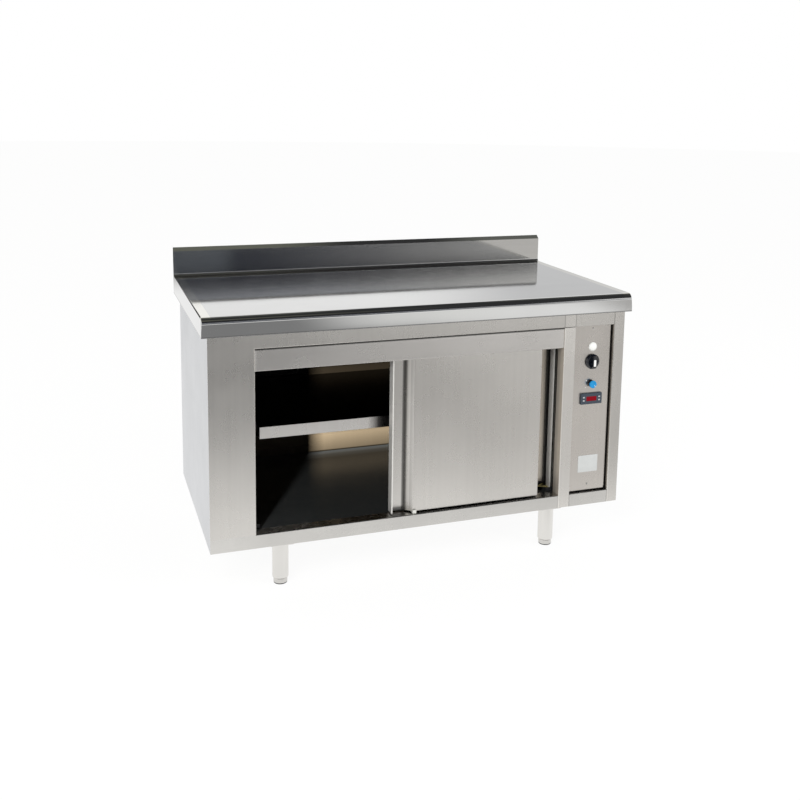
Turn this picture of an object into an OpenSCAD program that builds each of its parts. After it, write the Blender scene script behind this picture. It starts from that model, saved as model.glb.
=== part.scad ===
// Ventilated plate warmer cabinet: a stainless worktop and upstand over a double-skinned hot
// cupboard with two sliding doors, one shelf, a fan heater in the left cavity and a control
// bay on the right. Millimetres. The origin is on the floor under the middle of the worktop,
// X runs along the front, the front looks towards -Y and Z is up.

/* [Overall] */
// Width of the worktop
worktop_w = 1400; // [1300:1:1600]
// Depth of the worktop from nosing to back edge
worktop_d = 700; // [660:1:800]
// Height of the worktop above the floor
worktop_h = 850; // [820:1:950]
// Height of the upstand above the worktop
upstand_h = 100; // [60:1:150]

/* [Worktop] */
// Height of the folded nosing
nosing_h = 60; // [50:1:80]
// Radius of the rolled front edge
nosing_r = 16; // [6:1:24]
// Width of the flange folded in under the nosing
nosing_flange = 25; // [20:1:40]
// Thickness of the board bonded under the sheet
core_t = 18; // [12:1:25]
// Width of a stiffening channel
stiffener_w = 50; // [30:1:80]
// Distance from each end of the worktop to the outer stiffening channels
stiffener_inset = 280; // [150:1:400]
// Thickness of the upstand from its face to the back edge
upstand_t = 15; // [10:1:25]
// Height of the sloping band along the top of the upstand
upstand_slope = 12; // [4:1:20]
// Radius of the cove where the upstand meets the worktop
cove_r = 10; // [4:1:20]

/* [Cabinet body] */
// Thickness of the stainless sheet
sheet = 1.5; // [1:0.1:2]
// Overhang of the worktop at each side
side_overhang = 18; // [5:1:40]
// Overhang of the worktop at the front
front_overhang = 12; // [5:1:25]
// Distance from the back panel to the back edge of the worktop
back_overhang = 23; // [20:1:50]
// Clear height under the cabinet
leg_clear = 135; // [110:1:200]
// Width of the plain front panel left of the doors
left_stile_w = 137; // [125:1:180]
// Width of the narrow stile at the right end
right_stile_w = 37; // [30:1:60]
// Width of the post between the doors and the controls
post_w = 40; // [30:1:60]
// Width of the control bay
bay_w = 143; // [125:1:200]
// Height of the rail under the worktop
top_rail_h = 43; // [30:1:60]
// Height of the rail under the doors
bottom_rail_h = 43; // [30:1:70]
// Depth that the front frame folds back
frame_return = 40; // [36:1:60]
// Width of the small joining flanges
flange = 20; // [12:1:25]
// Depth of the insulated space behind the inner back
back_space = 37; // [25:1:60]

/* [Doors] */
// Height of the fascia that hides the door track
fascia_h = 68; // [62:1:90]
// How far the fascia is set back from the frame
fascia_setback = 2; // [0:0.5:4]
// Gap over the fascia
fascia_gap = 1; // [0.5:0.5:3]
// Thickness of a door
door_t = 32; // [28:1:34]
// How far the front door's face is set back from the frame
door_setback = 14; // [12:1:18]
// Free space between the two door planes
door_between = 9; // [6:1:12]
// How far the closed doors overlap at the middle
door_overlap = 14; // [10:1:60]
// How far the doors run up behind the fascia
door_lap = 21; // [15:1:24]
// Free width that the open left door leaves over the right door's channel
stop_space = 68; // [40:1:90]
// Depth of the finger channel in a door
channel_depth = 24; // [12:1:24]
// Width of the thin lip outside the finger channel
channel_lip = 4; // [3.5:0.5:8]
// Width of the floor of the finger channel
channel_floor = 42; // [30:1:50]
// Width of the channel's sloping side
channel_slope = 25; // [15:1:35]
// Radius of a visible fold
fold_r = 3; // [2:0.5:4]

/* [Door gear] */
// Outer radius of a grooved track wheel
wheel_r = 11; // [10:0.5:12]
// Depth of the wheel's groove
groove_depth = 2; // [1:0.5:3]
// Width of a wheel
wheel_w = 7; // [6:0.5:8]
// Thickness of the track's running lip
lip_t = 2; // [1.5:0.5:2.5]
// Diameter of a wheel pin
pin_d = 6; // [4:0.5:8]
// Thickness of a hanger plate
hanger_t = 3; // [2:0.5:4]
// Width of a hanger plate
hanger_w = 50; // [30:1:70]
// Distance from a door's edge to its nearer hanger
hanger_inset = 90; // [60:1:150]
// Height of a wheel's axis above the door
wheel_rise = 27; // [25:0.5:28]

/* [Shelf] */
// Height of the shelf's top above the cabinet floor
shelf_level = 299; // [150:1:400]
// Height of the shelf's folded edge
shelf_h = 37; // [20:1:50]
// Air gap at each end of the shelf
shelf_end_gap = 30; // [10:1:40]
// Air gap behind the shelf
shelf_back_gap = 10; // [5:1:40]
// Width of a shelf rail
shelf_rail_w = 55; // [50:1:70]
// Height of a shelf rail on the wall
shelf_rail_h = 30; // [15:1:40]

/* [Legs] */
// Diameter of a leg tube
leg_d = 50; // [38:1:60]
// Distance from the body's left side to the left legs
leg_inset_left = 217; // [60:1:300]
// Distance from the body's right side to the right legs
leg_inset_right = 244; // [60:1:300]
// Distance from the front or back of the body to the legs
leg_inset_depth = 38; // [38:1:120]
// Height of the foot that shows under the tube
foot_h = 20; // [12:1:40]
// Diameter of a foot
foot_d = 43; // [30:1:50]
// Diameter of the threaded stem
stem_d = 12; // [8:1:16]

/* [Controls] */
// How far the control panel is set back from the frame
panel_setback = 11; // [8:1:14]
// Gap at the right of the control panel
panel_gap_side = 9; // [4:1:15]
// Gap under the control panel
panel_gap_bottom = 9; // [4:1:15]
// Distance from the post to the controls' centre line
controls_x = 71; // [60:1:80]
// Distance from the top rail down to the pilot lamp
lamp_drop = 72; // [55:1:75]
// Distance from the top rail down to the main switch
switch_drop = 122; // [118:1:130]
// Distance from the top rail down to the thermostat knob
thermostat_drop = 197; // [185:1:205]
// Distance from the top rail down to the digital controller
controller_drop = 247; // [240:1:300]
// Diameter of the pilot lamp
lamp_d = 30; // [20:1:32]
// Diameter of the main switch knob
main_knob_d = 50; // [36:1:54]
// Diameter of the thermostat knob
thermostat_knob_d = 25; // [18:1:30]
// Width of the controller's bezel
controller_w = 77; // [70:1:90]
// Height of the controller's bezel
controller_h = 36; // [32:1:50]
// Thickness of the controller's bezel
controller_t = 7; // [4:0.5:10]
// Lip of the controller's bezel round its cut-out
bezel_lip = 3; // [2:0.5:4]
// Depth of the controller behind the panel
controller_depth = 58; // [40:1:90]
// Width of the controller's window
window_w = 37.5; // [30:0.5:42]
// Height of the controller's window
window_h = 15.5; // [10:0.5:20]
// Travel of a controller button
button_travel = 1; // [0.5:0.1:1.5]
// Width of the blank plate
plate_w = 73; // [40:1:80]
// Height of the blank plate
plate_h = 58; // [30:1:80]
// Height of the blank plate's lower edge over the cabinet floor
plate_level = 67; // [20:1:150]
// Side of the main switch's square case
switch_case = 46; // [40:1:50]
// Depth of the main switch behind the panel
switch_depth = 55; // [40:1:70]
// Width of the thermostat's case
thermostat_case_w = 44; // [36:1:50]
// Height of the thermostat's case
thermostat_case_h = 40; // [30:1:50]
// Depth of the thermostat's case
thermostat_case_d = 26; // [22:1:40]
// Length of the terminal block
terminal_l = 70; // [65:1:90]
// Height of the terminal block
terminal_h = 32; // [24:1:40]
// Thickness of the terminal block
terminal_t = 28; // [20:1:36]

/* [Fan heater] */
// Diameter of the impeller
impeller_d = 150; // [100:1:160]
// Width of the impeller
impeller_w = 28; // [20:1:35]
// Diameter of the fan motor
motor_d = 70; // [50:1:80]
// Length of the fan motor
motor_l = 50; // [30:1:70]
// Diameter of the fan shaft
shaft_d = 8; // [6:1:10]
// Diameter of the heating element's rod
rod_d = 8; // [6:0.5:8.5]

/* [Clearances] */
// Gap at the ends of a closed door
door_gap = 1.5; // [1:0.1:3]
// Gap under the doors
door_floor_gap = 4.5; // [3:0.5:8]
// Radial running clearance of a shaft or pin
run_gap = 0.08; // [0.05:0.01:0.1]
// Gap between a wheel's groove and the track
wheel_gap = 0.05; // [0.05:0.01:0.2]
// Gap behind a knob and over a foot
knob_gap = 0.3; // [0.2:0.05:0.5]
// Clearance round a controller button
button_gap = 0.2; // [0.15:0.05:0.3]
// Clearance round a part that drops into a cut-out
fit_gap = 0.2; // [0.1:0.05:0.4]
// Clearance round a knob's shaft where it passes the panel
shaft_gap = 2; // [1:0.5:3]
// Clearance between a door and the floor guides
guide_gap = 1; // [0.5:0.5:2]
// Free space between the rear door and the shelf
shelf_front_gap = 9; // [5:1:20]

/* [Hidden] */
$fn = 48;

// Worktop planes
top_x = worktop_w / 2;
top_y0 = -worktop_d / 2;
top_y1 = worktop_d / 2;
top_z1 = worktop_h;
top_z0 = worktop_h - nosing_h;
core_z1 = top_z1 - sheet;
core_z0 = core_z1 - core_t;
// Body planes
body_x = top_x - side_overhang;
body_y0 = top_y0 + front_overhang;
body_y1 = top_y1 - back_overhang;
body_z0 = leg_clear;
body_z1 = top_z0;
open_x0 = -body_x + left_stile_w;
bay_x1 = body_x - right_stile_w;
bay_x0 = bay_x1 - bay_w;
open_x1 = bay_x0 - post_w;
floor_z = body_z0 + bottom_rail_h;
rail_z = body_z1 - top_rail_h;
ceiling_z = rail_z + sheet;
fascia_z = rail_z - fascia_h;
frame_y = body_y0 + frame_return;
inner_y = body_y1 - back_space;
// Doors
open_w = open_x1 - open_x0;
door_w = (open_w + door_overlap) / 2 - door_gap;
door_travel = open_w - 2 * door_gap - door_w - stop_space;
channel_w = channel_lip + channel_floor + channel_slope;
door_y = [body_y0 + door_setback, body_y0 + door_setback + door_t + door_between];
door_z0 = floor_z + door_floor_gap;
door_z1 = fascia_z + door_lap;
left_door_x = open_x0 + door_gap + door_travel;
right_door_x = open_x1 - door_gap - door_w;
// Door gear
wheel_z = door_z1 + wheel_rise;
groove_r = wheel_r - groove_depth;
lip_z = wheel_z - groove_r - wheel_gap;
track_t = 2;
track_top_t = 3;
hanger_over = 9;
head_over = 2;
wheel_offset = hanger_t / 2 + 2 + wheel_w / 2;
track_web_offset = wheel_offset + wheel_w / 2 + 7.5;
track_lip_h = 8;
// Shelf
shelf_z1 = floor_z + shelf_level;
shelf_z0 = shelf_z1 - shelf_h;
shelf_x0 = open_x0 + shelf_end_gap;
shelf_x1 = open_x1 - shelf_end_gap;
shelf_y0 = door_y[1] + door_t + shelf_front_gap;
shelf_y1 = inner_y - shelf_back_gap;
shelf_rail_y0 = shelf_y0 + 26;
// Control panel
panel_y = body_y0 + panel_setback;
panel_x0 = bay_x0;
panel_x1 = bay_x1 - panel_gap_side;
panel_z0 = floor_z + panel_gap_bottom;
panel_z1 = rail_z - 0.5;
panel_back = panel_y + sheet;
controls_axis = bay_x0 + controls_x;
lamp_z = rail_z - lamp_drop;
switch_z = rail_z - switch_drop;
thermostat_z = rail_z - thermostat_drop;
controller_z = rail_z - controller_drop;
screw_z = [panel_z0 + 15, panel_z1 - 10];
screw_hole_d = 4.4;
switch_shaft_d = 6;
thermostat_shaft_d = 6;
lamp_barrel_d = 20;
button_w = 6.5;
button_h = 4.5;
button_x = (window_w / 2 + controller_w / 2) / 2;
button_z = 5.5;
button_depth = 4;
// Fan heater
fan_y = (body_y0 + inner_y) / 2;
fan_z = floor_z + (rail_z - floor_z) / 2;
fan_wall = open_x0 - sheet;
fan_gap = 6;
fan_plate_x = fan_wall - fan_gap - impeller_w - 11;
fan_post = impeller_d / 2 + 20;
fan_plate_margin = 15;
fan_plate_size = 2 * (fan_post + fan_plate_margin);
element_r = impeller_d / 2 + rod_d / 2 + 8;
element_x = fan_wall - fan_gap - impeller_w / 2;
// Legs
leg_x = [-body_x + leg_inset_left, body_x - leg_inset_right];
leg_y = [body_y0 + leg_inset_depth, body_y1 - leg_inset_depth];
leg_plate = leg_d + 22;
leg_plate_t = 3;
stem_top = foot_h + 30;
// Cable entry
gland_x = (bay_x0 + bay_x1) / 2;
gland_level = 40;
gland_z = floor_z + gland_level;
gland_d = 20;
gland_bore_d = 10;
gland_nut_d = 28;

// ---------------------------------------------------------------- sheet-metal helpers
function unit(v) = v / norm(v);
function turned(v, a) = [v[0] * cos(a) - v[1] * sin(a), v[0] * sin(a) + v[1] * cos(a)];
// Right-hand normal of the step from a to b
function side_of(a, b) = let (d = unit(b - a)) [d[1], -d[0]];

// The corner b between a and c, rounded with radius r in n steps
function rounded_corner(a, b, c, r, n = 4) =
    let (u = unit(a - b), v = unit(c - b), half = acos(u * v) / 2)
    let (centre = b + unit(u + v) * r / sin(half), start = b + u * r / tan(half))
    let (way = sign((b - a)[0] * (c - b)[1] - (b - a)[1] * (c - b)[0]))
    [for (k = [0:n]) centre + turned(start - centre, way * (180 - 2 * half) * k / n)];

// A path with each inner corner rounded; radii has one value for each corner
function bend(path, radii, n = 4) = [
    path[0],
    for (i = [1:len(path) - 2]) each
        radii[i - 1] == 0 ? [path[i]]
                          : rounded_corner(path[i - 1], path[i], path[i + 1], radii[i - 1], n),
    path[len(path) - 1]
];

// One point of the path moved by t to the right of the way it runs
function moved(path, i, t) =
    i == 0 ? path[0] + t * side_of(path[0], path[1])
    : i == len(path) - 1 ? path[i] + t * side_of(path[i - 1], path[i])
    : let (m = side_of(path[i - 1], path[i]) + side_of(path[i], path[i + 1]))
      path[i] + m * 2 * t / (m * m);

function inner_path(path, t) = [for (i = [0:len(path) - 1]) moved(path, i, t)];
function reversed(path) = [for (i = [len(path) - 1:-1:0]) path[i]];

// A sheet of thickness t whose outside follows the path, with the metal on its right
module fold_sheet(path, t = sheet) polygon(concat(path, reversed(inner_path(path, t))));

// Extrusions along each axis: children are drawn in (y, z), (x, z) and (x, y)
module along_x(x0, x1)
    translate([x0, 0, 0]) rotate([90, 0, 90]) linear_extrude(x1 - x0) children();
module along_y(y0, y1)
    translate([0, y1, 0]) rotate([90, 0, 0]) linear_extrude(y1 - y0) children();
module along_z(z0, z1)
    translate([0, 0, z0]) linear_extrude(z1 - z0) children();
module block(lo, hi) translate(lo) cube(hi - lo);

// A round bar or hole along Y from y0 to y1, centred at x and z
module rod_y(x, z, d, y0, y1)
    translate([x, y1, z]) rotate([90, 0, 0]) cylinder(d = d, h = y1 - y0);
// A round bar or hole along X from x0 to x1, centred at y and z
module rod_x(y, z, d, x0, x1)
    translate([x0, y, z]) rotate([0, 90, 0]) cylinder(d = d, h = x1 - x0);
// A solid turned round an axis that points towards the front, drawn as (radius, distance)
module turned_to_front(x, y, z, fn = 64)
    translate([x, y, z]) rotate([90, 0, 0]) rotate_extrude($fn = fn) children();

// ---------------------------------------------------------------- worktop
// The sheet is one folded piece up to the cove, and the upstand with the cove is welded to it
upstand_face_y = top_y1 - upstand_t;
upstand_face_z = top_z1 + upstand_h - upstand_slope;
cove_y = upstand_face_y - cove_r;
worktop_path = bend([[top_y0 + nosing_flange, top_z0], [top_y0, top_z0], [top_y0, top_z1],
                     [cove_y, top_z1]], [fold_r, nosing_r], 8);
worktop_end = bend([[cove_y, top_z0], [top_y0, top_z0], [top_y0, top_z1], [cove_y, top_z1]],
                   [fold_r, nosing_r], 8);

module worktop() color("silver") {
    along_x(-top_x, top_x) fold_sheet(worktop_path);
    for (x0 = [-top_x, top_x - sheet])
        along_x(x0, x0 + sheet) polygon(worktop_end);
}

module worktop_core() color("burlywood")
    block([-top_x + sheet, top_y0 + nosing_r + sheet, core_z0],
          [top_x - sheet, top_y1 - sheet, core_z1]);

// Hat channels from the front rail to the back panel, which carry the board
stiffener_foot = stiffener_w / 2 + flange;
module worktop_stiffeners() color("lightgray")
    for (k = [-1, 0, 1])
        translate([k * (top_x - stiffener_inset), 0, 0])
            along_y(top_y0 + nosing_flange + 1, body_y1 - sheet)
                fold_sheet([[-stiffener_foot, top_z0 + sheet], [-stiffener_w / 2, top_z0 + sheet],
                            [-stiffener_w / 2, core_z0], [stiffener_w / 2, core_z0],
                            [stiffener_w / 2, top_z0 + sheet], [stiffener_foot, top_z0 + sheet]]);

// Folded upstand with a coved foot, a sloping band along its top and a back that runs down
// behind the worktop
cove = [for (a = [10:10:80]) [upstand_face_y - cove_r * (1 - sin(a)), top_z1 + cove_r * (1 - cos(a))]];
upstand_path = concat([[cove_y, top_z1]], cove,
                      [[upstand_face_y, top_z1 + cove_r], [upstand_face_y, upstand_face_z],
                       [top_y1, top_z1 + upstand_h], [top_y1, top_z0]]);
module upstand() color("silver") {
    along_x(-top_x, top_x) fold_sheet(upstand_path);
    for (x0 = [-top_x, top_x - sheet])
        along_x(x0, x0 + sheet) polygon(concat([[cove_y, top_z0]], upstand_path));
}

// ---------------------------------------------------------------- outer body
// Side sheet with a flange under the worktop, drawn for the left end
module side_sheet() {
    block([-body_x, body_y0 + sheet, body_z0], [-body_x + sheet, body_y1, body_z1]);
    block([-body_x, body_y0 + sheet, body_z1 - sheet], [-body_x + flange, body_y1 - sheet, body_z1]);
}
module left_side_panel() color("gainsboro") side_sheet();
module right_side_panel() color("gainsboro") mirror([1, 0, 0]) side_sheet();

vent_count = 6;
vent_pitch = 16;
vent_h = 5;
vent_inset = 25;
module back_panel() color("gainsboro") difference() {
    union() {
        block([-body_x + sheet, body_y1 - sheet, body_z0 + sheet],
              [body_x - sheet, body_y1, body_z1]);
        block([-body_x + flange + 1, body_y1 - frame_return, body_z1 - sheet],
              [body_x - flange - 1, body_y1, body_z1]);
    }
    rod_y(gland_x, gland_z, gland_d + 2 * fit_gap, body_y1 - 2 * sheet, body_y1 + 1);
    // Cooling slots behind the controls
    for (k = [0:vent_count - 1])
        block([bay_x0 + vent_inset, body_y1 - 2 * sheet, controller_z + k * vent_pitch],
              [bay_x1 - vent_inset, body_y1 + 1, controller_z + k * vent_pitch + vent_h]);
}

// Floor pan, notched round the front frame
module bottom_pan() color("silver") difference() {
    union() {
        block([-body_x + sheet, body_y0 + sheet, body_z0],
              [body_x - sheet, body_y1, body_z0 + sheet]);
        for (end = [0, 1]) mirror([end, 0, 0])
            block([-body_x + sheet, frame_y + 1, body_z0],
                  [-body_x + 2 * sheet, body_y1 - sheet, body_z0 + flange]);
        block([-body_x + sheet, body_y1 - 2 * sheet, body_z0],
              [body_x - sheet, body_y1 - sheet, body_z0 + flange]);
    }
    // The back panel stands on the pan's edge
    block([-body_x, body_y1 - sheet, body_z0 + sheet], [body_x, body_y1 + 1, body_z1]);
    left_stile();
    right_stile();
    block([open_x0 - sheet, body_y0, body_z0 - 1], [bay_x1 + sheet, frame_y, floor_z]);
}

// ---------------------------------------------------------------- front frame
// A stile seen from above, with its outer corner at the origin and its face along +X
module stile_section(width, lip)
    fold_sheet(bend([[width - lip, frame_return], [width, frame_return], [width, 0], [0, 0]],
                    [0, fold_r]));

module left_stile() color("gainsboro")
    along_z(body_z0, body_z1) translate([-body_x, body_y0]) stile_section(left_stile_w, flange);

module right_stile() color("gainsboro")
    along_z(body_z0, body_z1) translate([body_x, body_y0]) mirror([1, 0])
        stile_section(right_stile_w, flange / 2);

module centre_post() color("gainsboro") along_z(body_z0, rail_z) difference() {
    translate([open_x1, body_y0]) square([post_w, frame_return]);
    translate([open_x1 + sheet, body_y0 + sheet])
        square([post_w - 2 * sheet, frame_return - 2 * sheet]);
}

module top_rail() color("gainsboro")
    along_x(open_x0, bay_x1)
        fold_sheet(bend([[body_y0 + flange, rail_z], [body_y0, rail_z], [body_y0, body_z1],
                         [body_y0 + 1.5 * flange, body_z1]], [fold_r, 0]));

// The rail under the doors and its short length under the control panel
module bottom_rail() color("gainsboro")
    for (span = [[open_x0, open_x1], [bay_x0, bay_x1]])
        along_x(span[0], span[1])
            fold_sheet(bend([[frame_y, body_z0], [body_y0, body_z0], [body_y0, floor_z],
                             [frame_y, floor_z]], [0, fold_r]));

module door_fascia() color("lightgray")
    along_x(open_x0, open_x1)
        fold_sheet(bend([[body_y0 + fascia_setback + 8, fascia_z], [body_y0 + fascia_setback, fascia_z],
                         [body_y0 + fascia_setback, rail_z - fascia_gap]], [fold_r]));

// ---------------------------------------------------------------- hot cupboard
module cabinet_floor() color("silver")
    block([open_x0, frame_y, floor_z - sheet], [open_x1, inner_y, floor_z]);

module inner_wall_sheet(x0)
    block([x0, frame_y, floor_z - sheet], [x0 + sheet, inner_y, ceiling_z]);

// Grille slots of the fan heater: an inlet field at the fan and an outlet row low down
slot_pitch = 14;
slot_h = 6;
inlet_slots = 9;
outlet_slots = 4;
outlet_level = 30;
module inner_left_wall() color("silver") difference() {
    inner_wall_sheet(open_x0 - sheet);
    for (k = [0:inlet_slots - 1]) {
        rise = (k - (inlet_slots - 1) / 2) * slot_pitch;
        reach = sqrt(pow(impeller_d / 2, 2) - pow(rise, 2));
        block([open_x0 - 2 * sheet, fan_y - reach, fan_z + rise - slot_h / 2],
              [open_x0 + 1, fan_y + reach, fan_z + rise + slot_h / 2]);
    }
    for (k = [0:outlet_slots - 1]) {
        z = floor_z + outlet_level + k * slot_pitch;
        block([open_x0 - 2 * sheet, fan_y - impeller_d, z],
              [open_x0 + 1, fan_y + impeller_d, z + slot_h]);
    }
}

capillary_d = 2.5;
probe_d = 6;
probe_l = 65;
probe_x = open_x1 - probe_d / 2 - 3;
probe_y = shelf_y0 + 12;
module inner_right_wall() color("silver") difference() {
    inner_wall_sheet(open_x1);
    rod_x(probe_y, thermostat_z, capillary_d + 4 * fit_gap, open_x1 - 1, open_x1 + sheet + 1);
}

module inner_back() color("silver")
    block([open_x0 - sheet, inner_y, floor_z - sheet],
          [open_x1 + sheet, inner_y + sheet, ceiling_z]);

module inner_ceiling() color("silver") {
    block([open_x0, body_y0 + fold_r, ceiling_z], [open_x1, frame_y + 1, ceiling_z + sheet]);
    block([open_x0 - sheet, frame_y, ceiling_z],
          [open_x1 + sheet, inner_y + sheet, ceiling_z + sheet]);
}

// Blankets over the ceiling and behind the inner back
module insulation() color("khaki") {
    block([open_x0, body_y0 + 2 * frame_return, ceiling_z + sheet],
          [open_x1, inner_y + sheet, body_z1 - 2 * sheet]);
    block([open_x0, inner_y + sheet, floor_z], [open_x1, body_y1 - sheet, rail_z]);
}

// Shelf tray with folded edges and two ribs under it
module shelf() color("silver") {
    difference() {
        block([shelf_x0, shelf_y0, shelf_z0], [shelf_x1, shelf_y1, shelf_z1]);
        block([shelf_x0 + sheet, shelf_y0 + sheet, shelf_z0 - 1],
              [shelf_x1 - sheet, shelf_y1 - sheet, shelf_z1 - sheet]);
    }
    for (k = [1, 2])
        along_y(shelf_y0 + sheet, shelf_y1 - sheet)
            translate([shelf_x0 + (shelf_x1 - shelf_x0) * k / 3, 0])
                fold_sheet([[flange, shelf_z1 - sheet], [flange, shelf_z0 + sheet],
                            [-flange, shelf_z0 + sheet], [-flange, shelf_z1 - sheet]]);
}

// Angle rails on the inner walls, under the ends of the shelf and behind the probe
module shelf_rails() color("silver")
    for (end = [[open_x0, 0], [open_x1, 1]])
        along_y(shelf_rail_y0, shelf_y1) translate([end[0], 0]) mirror([end[1], 0])
            fold_sheet([[0, shelf_z0 - shelf_rail_h], [0, shelf_z0], [shelf_rail_w, shelf_z0]]);

// ---------------------------------------------------------------- sliding doors
// The outline of a door's front skin from above, with its finger channel at x = 0
door_path = bend([[0, door_t], [0, 0], [channel_lip, 0], [channel_lip, channel_depth],
                  [channel_lip + channel_floor, channel_depth], [channel_w, 0],
                  [door_w, 0], [door_w, door_t]],
                 [0, 0, 0, fold_r, fold_r, fold_r]);
door_inside = inner_path(reversed(door_path), sheet);

module door_skin_sheet() along_z(door_z0, door_z1) fold_sheet(reversed(door_path));

// Back tray with a flange that closes the top and the bottom of the door
module door_back_sheet() {
    along_z(door_z0, door_z1)
        translate([sheet, door_t - sheet]) square([door_w - 2 * sheet, sheet]);
    for (z = [door_z0, door_z1 - sheet]) along_z(z, z + sheet) door_filling();
}
module door_filling() intersection() {
    polygon(door_inside);
    translate([0, -1]) square([door_w, door_t - sheet + 1.01]);
}
module door_insulation_slab() along_z(door_z0 + sheet, door_z1 - sheet) intersection() {
    polygon(door_inside);
    translate([0, -1]) square([door_w, door_t - sheet + 1]);
}

// Where the two hangers of a door stand, measured from the channel's edge
hanger_x = [hanger_inset, door_w - hanger_inset];
hanger_y = door_t / 2;
wheel_y = hanger_y - wheel_offset;
pin_head_t = 1.5;

module door_hanger(x) {
    head_y = wheel_y - wheel_w / 2 - knob_gap;
    block([x - hanger_w / 2, hanger_y - hanger_t / 2, door_z1],
          [x + hanger_w / 2, hanger_y + hanger_t / 2, wheel_z + hanger_over]);
    block([x - hanger_w / 2, hanger_y - hanger_t / 2, door_z1],
          [x + hanger_w / 2, door_t - sheet, door_z1 + hanger_t]);
    rod_y(x, wheel_z, pin_d, head_y - pin_head_t, hanger_y);
    rod_y(x, wheel_z, pin_d + 2 * head_over, head_y - pin_head_t, head_y);
}

// A grooved wheel that runs on the lip of the track
groove_side_gap = 0.5;
module track_wheel(x)
    turned_to_front(x, wheel_y + wheel_w / 2, wheel_z, 48) difference() {
        translate([pin_d / 2 + run_gap, 0]) square([wheel_r - pin_d / 2 - run_gap, wheel_w]);
        translate([groove_r, (wheel_w - lip_t) / 2 - groove_side_gap])
            square([wheel_r, lip_t + 2 * groove_side_gap]);
    }

module at_left_door()
    translate([left_door_x, door_y[0], 0]) children();
module at_right_door()
    translate([right_door_x + door_w, door_y[1], 0]) mirror([1, 0, 0]) children();

module left_door_skin() color("gainsboro") at_left_door() door_skin_sheet();
module left_door_back() color("silver") at_left_door() door_back_sheet();
module left_door_insulation() color("khaki") at_left_door() door_insulation_slab();
module left_door_hangers() color("gray") at_left_door() for (x = hanger_x) door_hanger(x);
module left_door_wheel_a() color("dimgray") at_left_door() track_wheel(hanger_x[0]);
module left_door_wheel_b() color("dimgray") at_left_door() track_wheel(hanger_x[1]);
module right_door_skin() color("gainsboro") at_right_door() door_skin_sheet();
module right_door_back() color("silver") at_right_door() door_back_sheet();
module right_door_insulation() color("khaki") at_right_door() door_insulation_slab();
module right_door_hangers() color("gray") at_right_door() for (x = hanger_x) door_hanger(x);
module right_door_wheel_a() color("dimgray") at_right_door() track_wheel(hanger_x[0]);
module right_door_wheel_b() color("dimgray") at_right_door() track_wheel(hanger_x[1]);

// Double track: one top web and a running lip for each door
module door_track() color("lightgray") along_x(open_x0, open_x1) {
    web_y = [for (y = door_y) y + hanger_y - track_web_offset];
    translate([web_y[0], rail_z - track_top_t])
        square([web_y[1] - web_y[0] + hanger_t + track_web_offset, track_top_t]);
    for (k = [0, 1]) {
        lip_y = door_y[k] + wheel_y - lip_t / 2;
        low_z = lip_z - track_lip_h;
        translate([web_y[k], low_z]) square([track_t, rail_z - low_z]);
        translate([web_y[k], low_z]) square([lip_y + lip_t - web_y[k], track_t]);
        translate([lip_y, low_z]) square([lip_t, track_lip_h]);
    }
}

// Floor guides: a middle one with fins that steady both doors, and a block at each end
guide_h = 10;
guide_l = 12;
guide_base = 2;
guide_fin = 7;
module door_guides() color("white") {
    middle = (open_x0 + open_x1) / 2;
    front_y = door_y[0] - guide_gap;
    between = [door_y[0] + door_t + guide_gap, door_y[1] - guide_gap];
    rear_y = door_y[1] + door_t + guide_gap;
    block([middle - guide_l / 2, front_y - guide_fin, floor_z],
          [middle + guide_l / 2, rear_y + guide_fin, floor_z + guide_base]);
    for (fin = [[front_y - guide_fin, front_y], between, [rear_y, rear_y + guide_fin]])
        block([middle - guide_l / 2, fin[0], floor_z],
              [middle + guide_l / 2, fin[1], floor_z + guide_h]);
    for (x0 = [open_x0, open_x1 - flange])
        block([x0, between[0], floor_z], [x0 + flange, between[1], floor_z + guide_h]);
}

// ---------------------------------------------------------------- control bay
panel_return = 12;
module control_panel() color("silver") difference() {
    block([panel_x0, panel_y, panel_z0], [panel_x1, panel_y + panel_return, panel_z1]);
    block([panel_x0 + sheet, panel_back, panel_z0 + sheet],
          [panel_x1 - sheet, panel_y + panel_return + 1, panel_z1 + 1]);
    for (z = screw_z)
        rod_y(controls_axis, z, screw_hole_d, panel_y - 1, panel_back + 1);
    rod_y(controls_axis, lamp_z, lamp_barrel_d + 2 * fit_gap, panel_y - 1, panel_back + 1);
    rod_y(controls_axis, switch_z, switch_shaft_d + 2 * shaft_gap, panel_y - 1, panel_back + 1);
    rod_y(controls_axis, thermostat_z, thermostat_shaft_d + 2 * shaft_gap, panel_y - 1, panel_back + 1);
    controller_box(panel_y - 1, panel_back + 1, -bezel_lip);
}

// The box of the controller from y0 to y1, larger than its bezel by grow on every side
module controller_box(y0, y1, grow)
    block([controls_axis - controller_w / 2 - grow, y0, controller_z - controller_h / 2 - grow],
          [controls_axis + controller_w / 2 + grow, y1, controller_z + controller_h / 2 + grow]);

// Pan-headed screws: shank, then head
screw_l = 8;
module panel_screws() color("lightgray")
    for (z = screw_z)
        turned_to_front(controls_axis, panel_y + screw_l, z, 32)
            polygon([[0, 0], [2, 0], [2, screw_l], [4, screw_l], [3.6, screw_l + 1.6],
                     [2, screw_l + 2.4], [0, screw_l + 2.6]]);

plate_t = 0.8;
module blank_plate() color("white")
    block([controls_axis - plate_w / 2, panel_y - plate_t, floor_z + plate_level],
          [controls_axis + plate_w / 2, panel_y, floor_z + plate_level + plate_h]);

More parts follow.
